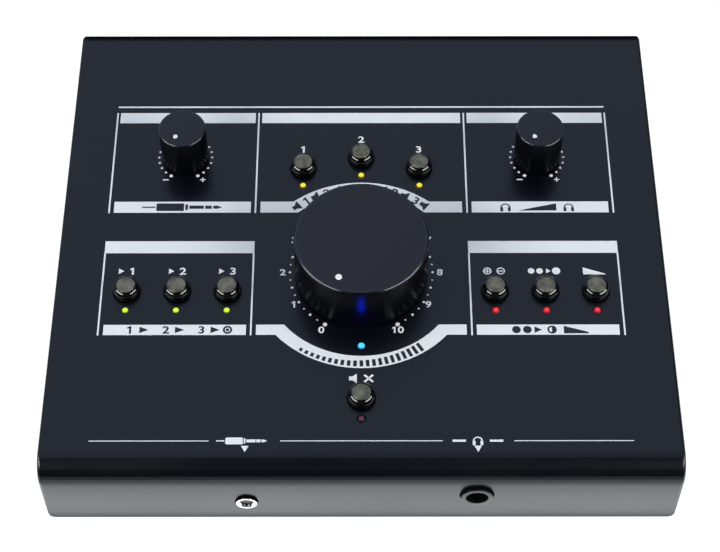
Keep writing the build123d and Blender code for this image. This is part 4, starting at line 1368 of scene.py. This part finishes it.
class CONTROLLER_OT_kept_parts(bpy.types.Operator):
    """Finishes for the tray, the rear plate and the parts inside"""

    bl_idname = "controller.kept_parts"
    bl_label = "Tray, rear plate and inner parts"

    def execute(self, context):
        cover = context.scene.controller.cover
        coat = powder_coat("powder_coat_lower", cover.colour, cover.roughness + 0.05)
        steel = plated("zinc_steel", (0.60, 0.60, 0.58), 0.3)
        board = Finish("solder_mask", (0.012, 0.09, 0.035), 0.3)
        board.life((0.9, 4.0, 0.01), (0.2, 2.0, 0.06), (0.4, 2.0, 0.12))
        ribbon = Finish("ribbon_grey", (0.32, 0.32, 0.33), 0.5)
        ribbon.bump(ribbon.noise(1.0, stretch=RIBBON_WIRES), 0.05).rough(ribbon.noise(0.3), 0.05)
        ribbon.tone(ribbon.noise(0.8, stretch=RIBBON_WIRES), 0.1)
        black = moulded("component_black", (0.02, 0.02, 0.021), 0.45)
        grey = moulded("switch_grey", (0.06, 0.06, 0.062), 0.5)
        finishes = {
            "base_tray": coat,
            "rear_panel": coat,
            "board_pillars": steel,
            "potentiometers": steel,
            "pot_nuts": steel,
            "master_shaft": steel,
            "aux_shaft": steel,
            "phones_shaft": steel,
            "control_board": board.material,
            "main_board": board.material,
            "ribbon_cable": ribbon.material,
            "board_components": black,
            "switch_bodies": grey,
            "led_spacers": grey,
        }
        for node, material in finishes.items():
            mesh = frame["nodes"][node].data
            mesh.materials.clear()
            mesh.materials.append(material)
        return {"FINISHED"}


# ------------------------------------------------------------------ studio
# The camera stands in the panel's own middle plane, in millimetres of the panel's frame.
CAMERA_AT = (0.0, -283.9, 540.1)
VIEW_TILT = 56.17  # degrees between the view axis and the panel
FOCAL = 1831.9  # in pixels of a frame 720 wide
FRAME_WIDE = 720.0
SENSOR = 36.0
AXIS_X = -1.3 / FRAME_WIDE
AXIS_Y = 0.76 / FRAME_WIDE
ROLL = 0.05  # degrees, clockwise as seen from behind the camera
LIT_TABLE = 54.0  # how far the lit part of the table reaches in front of the object
# Place towards the object and share of the light there.
TABLE_LIGHT = ((0.0, 0.44), (0.79, 0.44), (0.86, 1.0), (0.98, 1.0), (1.0, 0.4))
TABLE_TINT = (0.96, 0.985, 1.03)
WORK = Vector((0, 0, 0.05))  # where the lights point
CEILING = Vector((-0.18, 0.46, 0.87)).normalized()
CEILING_EDGE = (0.48, 0.92)  # cosines from the ceiling's middle: dark up to the first, full at the second


def toward(azimuth, elevation, distance):
    """Point that lies this far from the work.  Azimuth 0 is in front, and 90 is on the right."""
    turn, rise = math.radians(azimuth), math.radians(elevation)
    flat = math.cos(rise)
    return WORK + Vector((math.sin(turn) * flat, -math.cos(turn) * flat, math.sin(rise))) * distance


def lamp(name, power, wide, tall, spot, aim=WORK):
    """Soft rectangular light that looks at the work or at another point."""
    light = bpy.data.lights.new(name, "AREA")
    light.shape = "RECTANGLE"
    light.size = wide
    light.size_y = tall
    light.energy = power
    thing = bpy.data.objects.new(name, light)
    look = aim - spot
    thing.matrix_world = Matrix.Translation(spot) @ look.to_track_quat("-Z", "Y").to_matrix().to_4x4()
    bpy.context.scene.collection.objects.link(thing)
    return thing


def sheet_of(name, near, far, half, height, material):
    """Flat stage sheet between two distances behind the object's middle, in metres."""
    bm = block((-half, half), (near, far), (height - 0.002, height))
    mesh = bpy.data.meshes.new(name)
    bm.to_mesh(mesh)
    bm.free()
    mesh.materials.append(material)
    thing = bpy.data.objects.new(name, mesh)
    bpy.context.scene.collection.objects.link(thing)
    return thing


class CONTROLLER_OT_stage(bpy.types.Operator):
    """Pale floor, soft studio lights and the camera"""

    bl_idname = "controller.stage"
    bl_label = "Studio"

    def execute(self, context):
        scene = context.scene
        studio = scene.controller.studio
        front = CORNER.y
        edge = front - LIT_TABLE * MM
        paper = Finish("floor_paper", studio.floor, 0.8, specular=0.1)
        paper.tone(paper.noise(0.002), 0.01).rough(paper.noise(0.01), 0.04).glow((1, 1, 1), studio.glow)
        floor = sheet_of("floor", -6.0, 6.0, 6.0, 0.0, paper.material)
        floor.visible_glossy = False
        floor.visible_diffuse = False
        light = Finish("table_light", (0.0, 0.0, 0.0), 1.0, specular=0.0).glow((1, 1, 1), studio.table)
        split = light.node("ShaderNodeSeparateXYZ")
        light.link(light.where(), split.inputs["Vector"])
        ramp = light.node("ShaderNodeValToRGB")
        stops = ramp.color_ramp.elements
        while len(stops) < len(TABLE_LIGHT):
            stops.new(1.0)
        for stop, (where, share) in zip(stops, TABLE_LIGHT):
            stop.position = where
            stop.color = (*(share * part for part in TABLE_TINT), 1.0)
        light.link(light.remap(split.outputs["Y"], 0, 1, edge, front + 0.004), ramp.inputs["Fac"])
        light.link(ramp.outputs["Color"], light.shader.inputs["Emission Color"])
        table = sheet_of("table_light", edge, 6.0, 6.0, 0.001, light.material)
        table.visible_camera = False
        table.visible_shadow = False
        table.visible_transmission = False
        world = bpy.data.worlds.new("studio")
        world.use_nodes = True
        tree = world.node_tree
        direction = tree.nodes.new("ShaderNodeTexCoord")
        facing = tree.nodes.new("ShaderNodeVectorMath")
        facing.operation = "DOT_PRODUCT"
        facing.inputs[1].default_value = CEILING
        fall = tree.nodes.new("ShaderNodeMapRange")
        fall.interpolation_type = "SMOOTHSTEP"
        fall.inputs["From Min"].default_value, fall.inputs["From Max"].default_value = CEILING_EDGE
        blend = tree.nodes.new("ShaderNodeMix")
        blend.data_type = "RGBA"
        blend.inputs[MIX_FROM].default_value = (*studio.dusk, 1)
        blend.inputs[MIX_TO].default_value = (*studio.sky, 1)
        tree.links.new(direction.outputs["Generated"], facing.inputs[0])
        tree.links.new(facing.outputs["Value"], fall.inputs["Value"])
        tree.links.new(fall.outputs["Result"], blend.inputs[MIX_SHARE])
        tree.links.new(blend.outputs[MIX_COLOUR], tree.nodes["Background"].inputs["Color"])
        scene.world = world
        for name, side in (("key_left", -1), ("key_right", 1)):
            lamp(name, studio.key, 1.1, 0.32, toward(side * 58.0, 28.0, 1.15))
        lamp("strip", studio.strip, 1.6, 0.12, toward(0.0, 18.0, 1.35))
        data = bpy.data.cameras.new("camera")
        data.sensor_width = SENSOR
        data.sensor_fit = "HORIZONTAL"
        data.lens = FOCAL / FRAME_WIDE * SENSOR
        data.shift_x = AXIS_X
        data.shift_y = AXIS_Y
        data.clip_start = 0.01
        camera = bpy.data.objects.new("camera", data)
        look = math.radians(VIEW_TILT)
        s, c = math.sin(look), math.cos(look)
        turn = PANEL.to_3x3().normalized()
        right, up, back = (turn @ Vector(axis) for axis in ((1, 0, 0), (0, s, c), (0, -c, s)))
        axes = Matrix((right, up, back)).transposed().to_4x4() @ spun(-ROLL)
        camera.matrix_world = Matrix.Translation(PANEL @ Vector(CAMERA_AT)) @ axes
        scene.collection.objects.link(camera)
        scene.camera = camera
        scene.view_settings.view_transform = "Standard"
        return {"FINISHED"}


# ------------------------------------------------------------------ panel and registration
OPERATORS = (
    CONTROLLER_OT_stage,
    CONTROLLER_OT_cover,
    CONTROLLER_OT_print,
    CONTROLLER_OT_knobs,
    CONTROLLER_OT_buttons,
    CONTROLLER_OT_lamps,
    CONTROLLER_OT_front_sockets,
    CONTROLLER_OT_rear,
    CONTROLLER_OT_rocker,
    CONTROLLER_OT_fasteners,
    CONTROLLER_OT_kept_parts,
)


class CONTROLLER_PT_panel(bpy.types.Panel):
    """Lists the steps that dress the controller"""

    bl_idname = "CONTROLLER_PT_panel"
    bl_label = "Monitor controller"
    bl_space_type = "VIEW_3D"
    bl_region_type = "UI"
    bl_category = "Controller"

    def draw(self, context):
        settings = context.scene.controller
        for group in ("cover", "print", "knobs", "buttons", "lamps", "studio"):
            box = self.layout.box()
            box.label(text=group.capitalize())
            values = getattr(settings, group)
            for key in values.__annotations__:
                box.prop(values, key)
        for step in OPERATORS:
            self.layout.operator(step.bl_idname)


CLASSES = (
    CoverSettings,
    PrintSettings,
    KnobSettings,
    ButtonSettings,
    LampSettings,
    StudioSettings,
    ControllerSettings,
    *OPERATORS,
    CONTROLLER_PT_panel,
)


def register():
    for cls in CLASSES:
        bpy.utils.register_class(cls)
    bpy.types.Scene.controller = PointerProperty(type=ControllerSettings)


def unregister():
    del bpy.types.Scene.controller
    for cls in reversed(CLASSES):
        bpy.utils.unregister_class(cls)


def main():
    register()
    for step in OPERATORS:
        group, name = step.bl_idname.split(".")
        getattr(getattr(bpy.ops, group), name)()


if __name__ == "__main__":
    main()
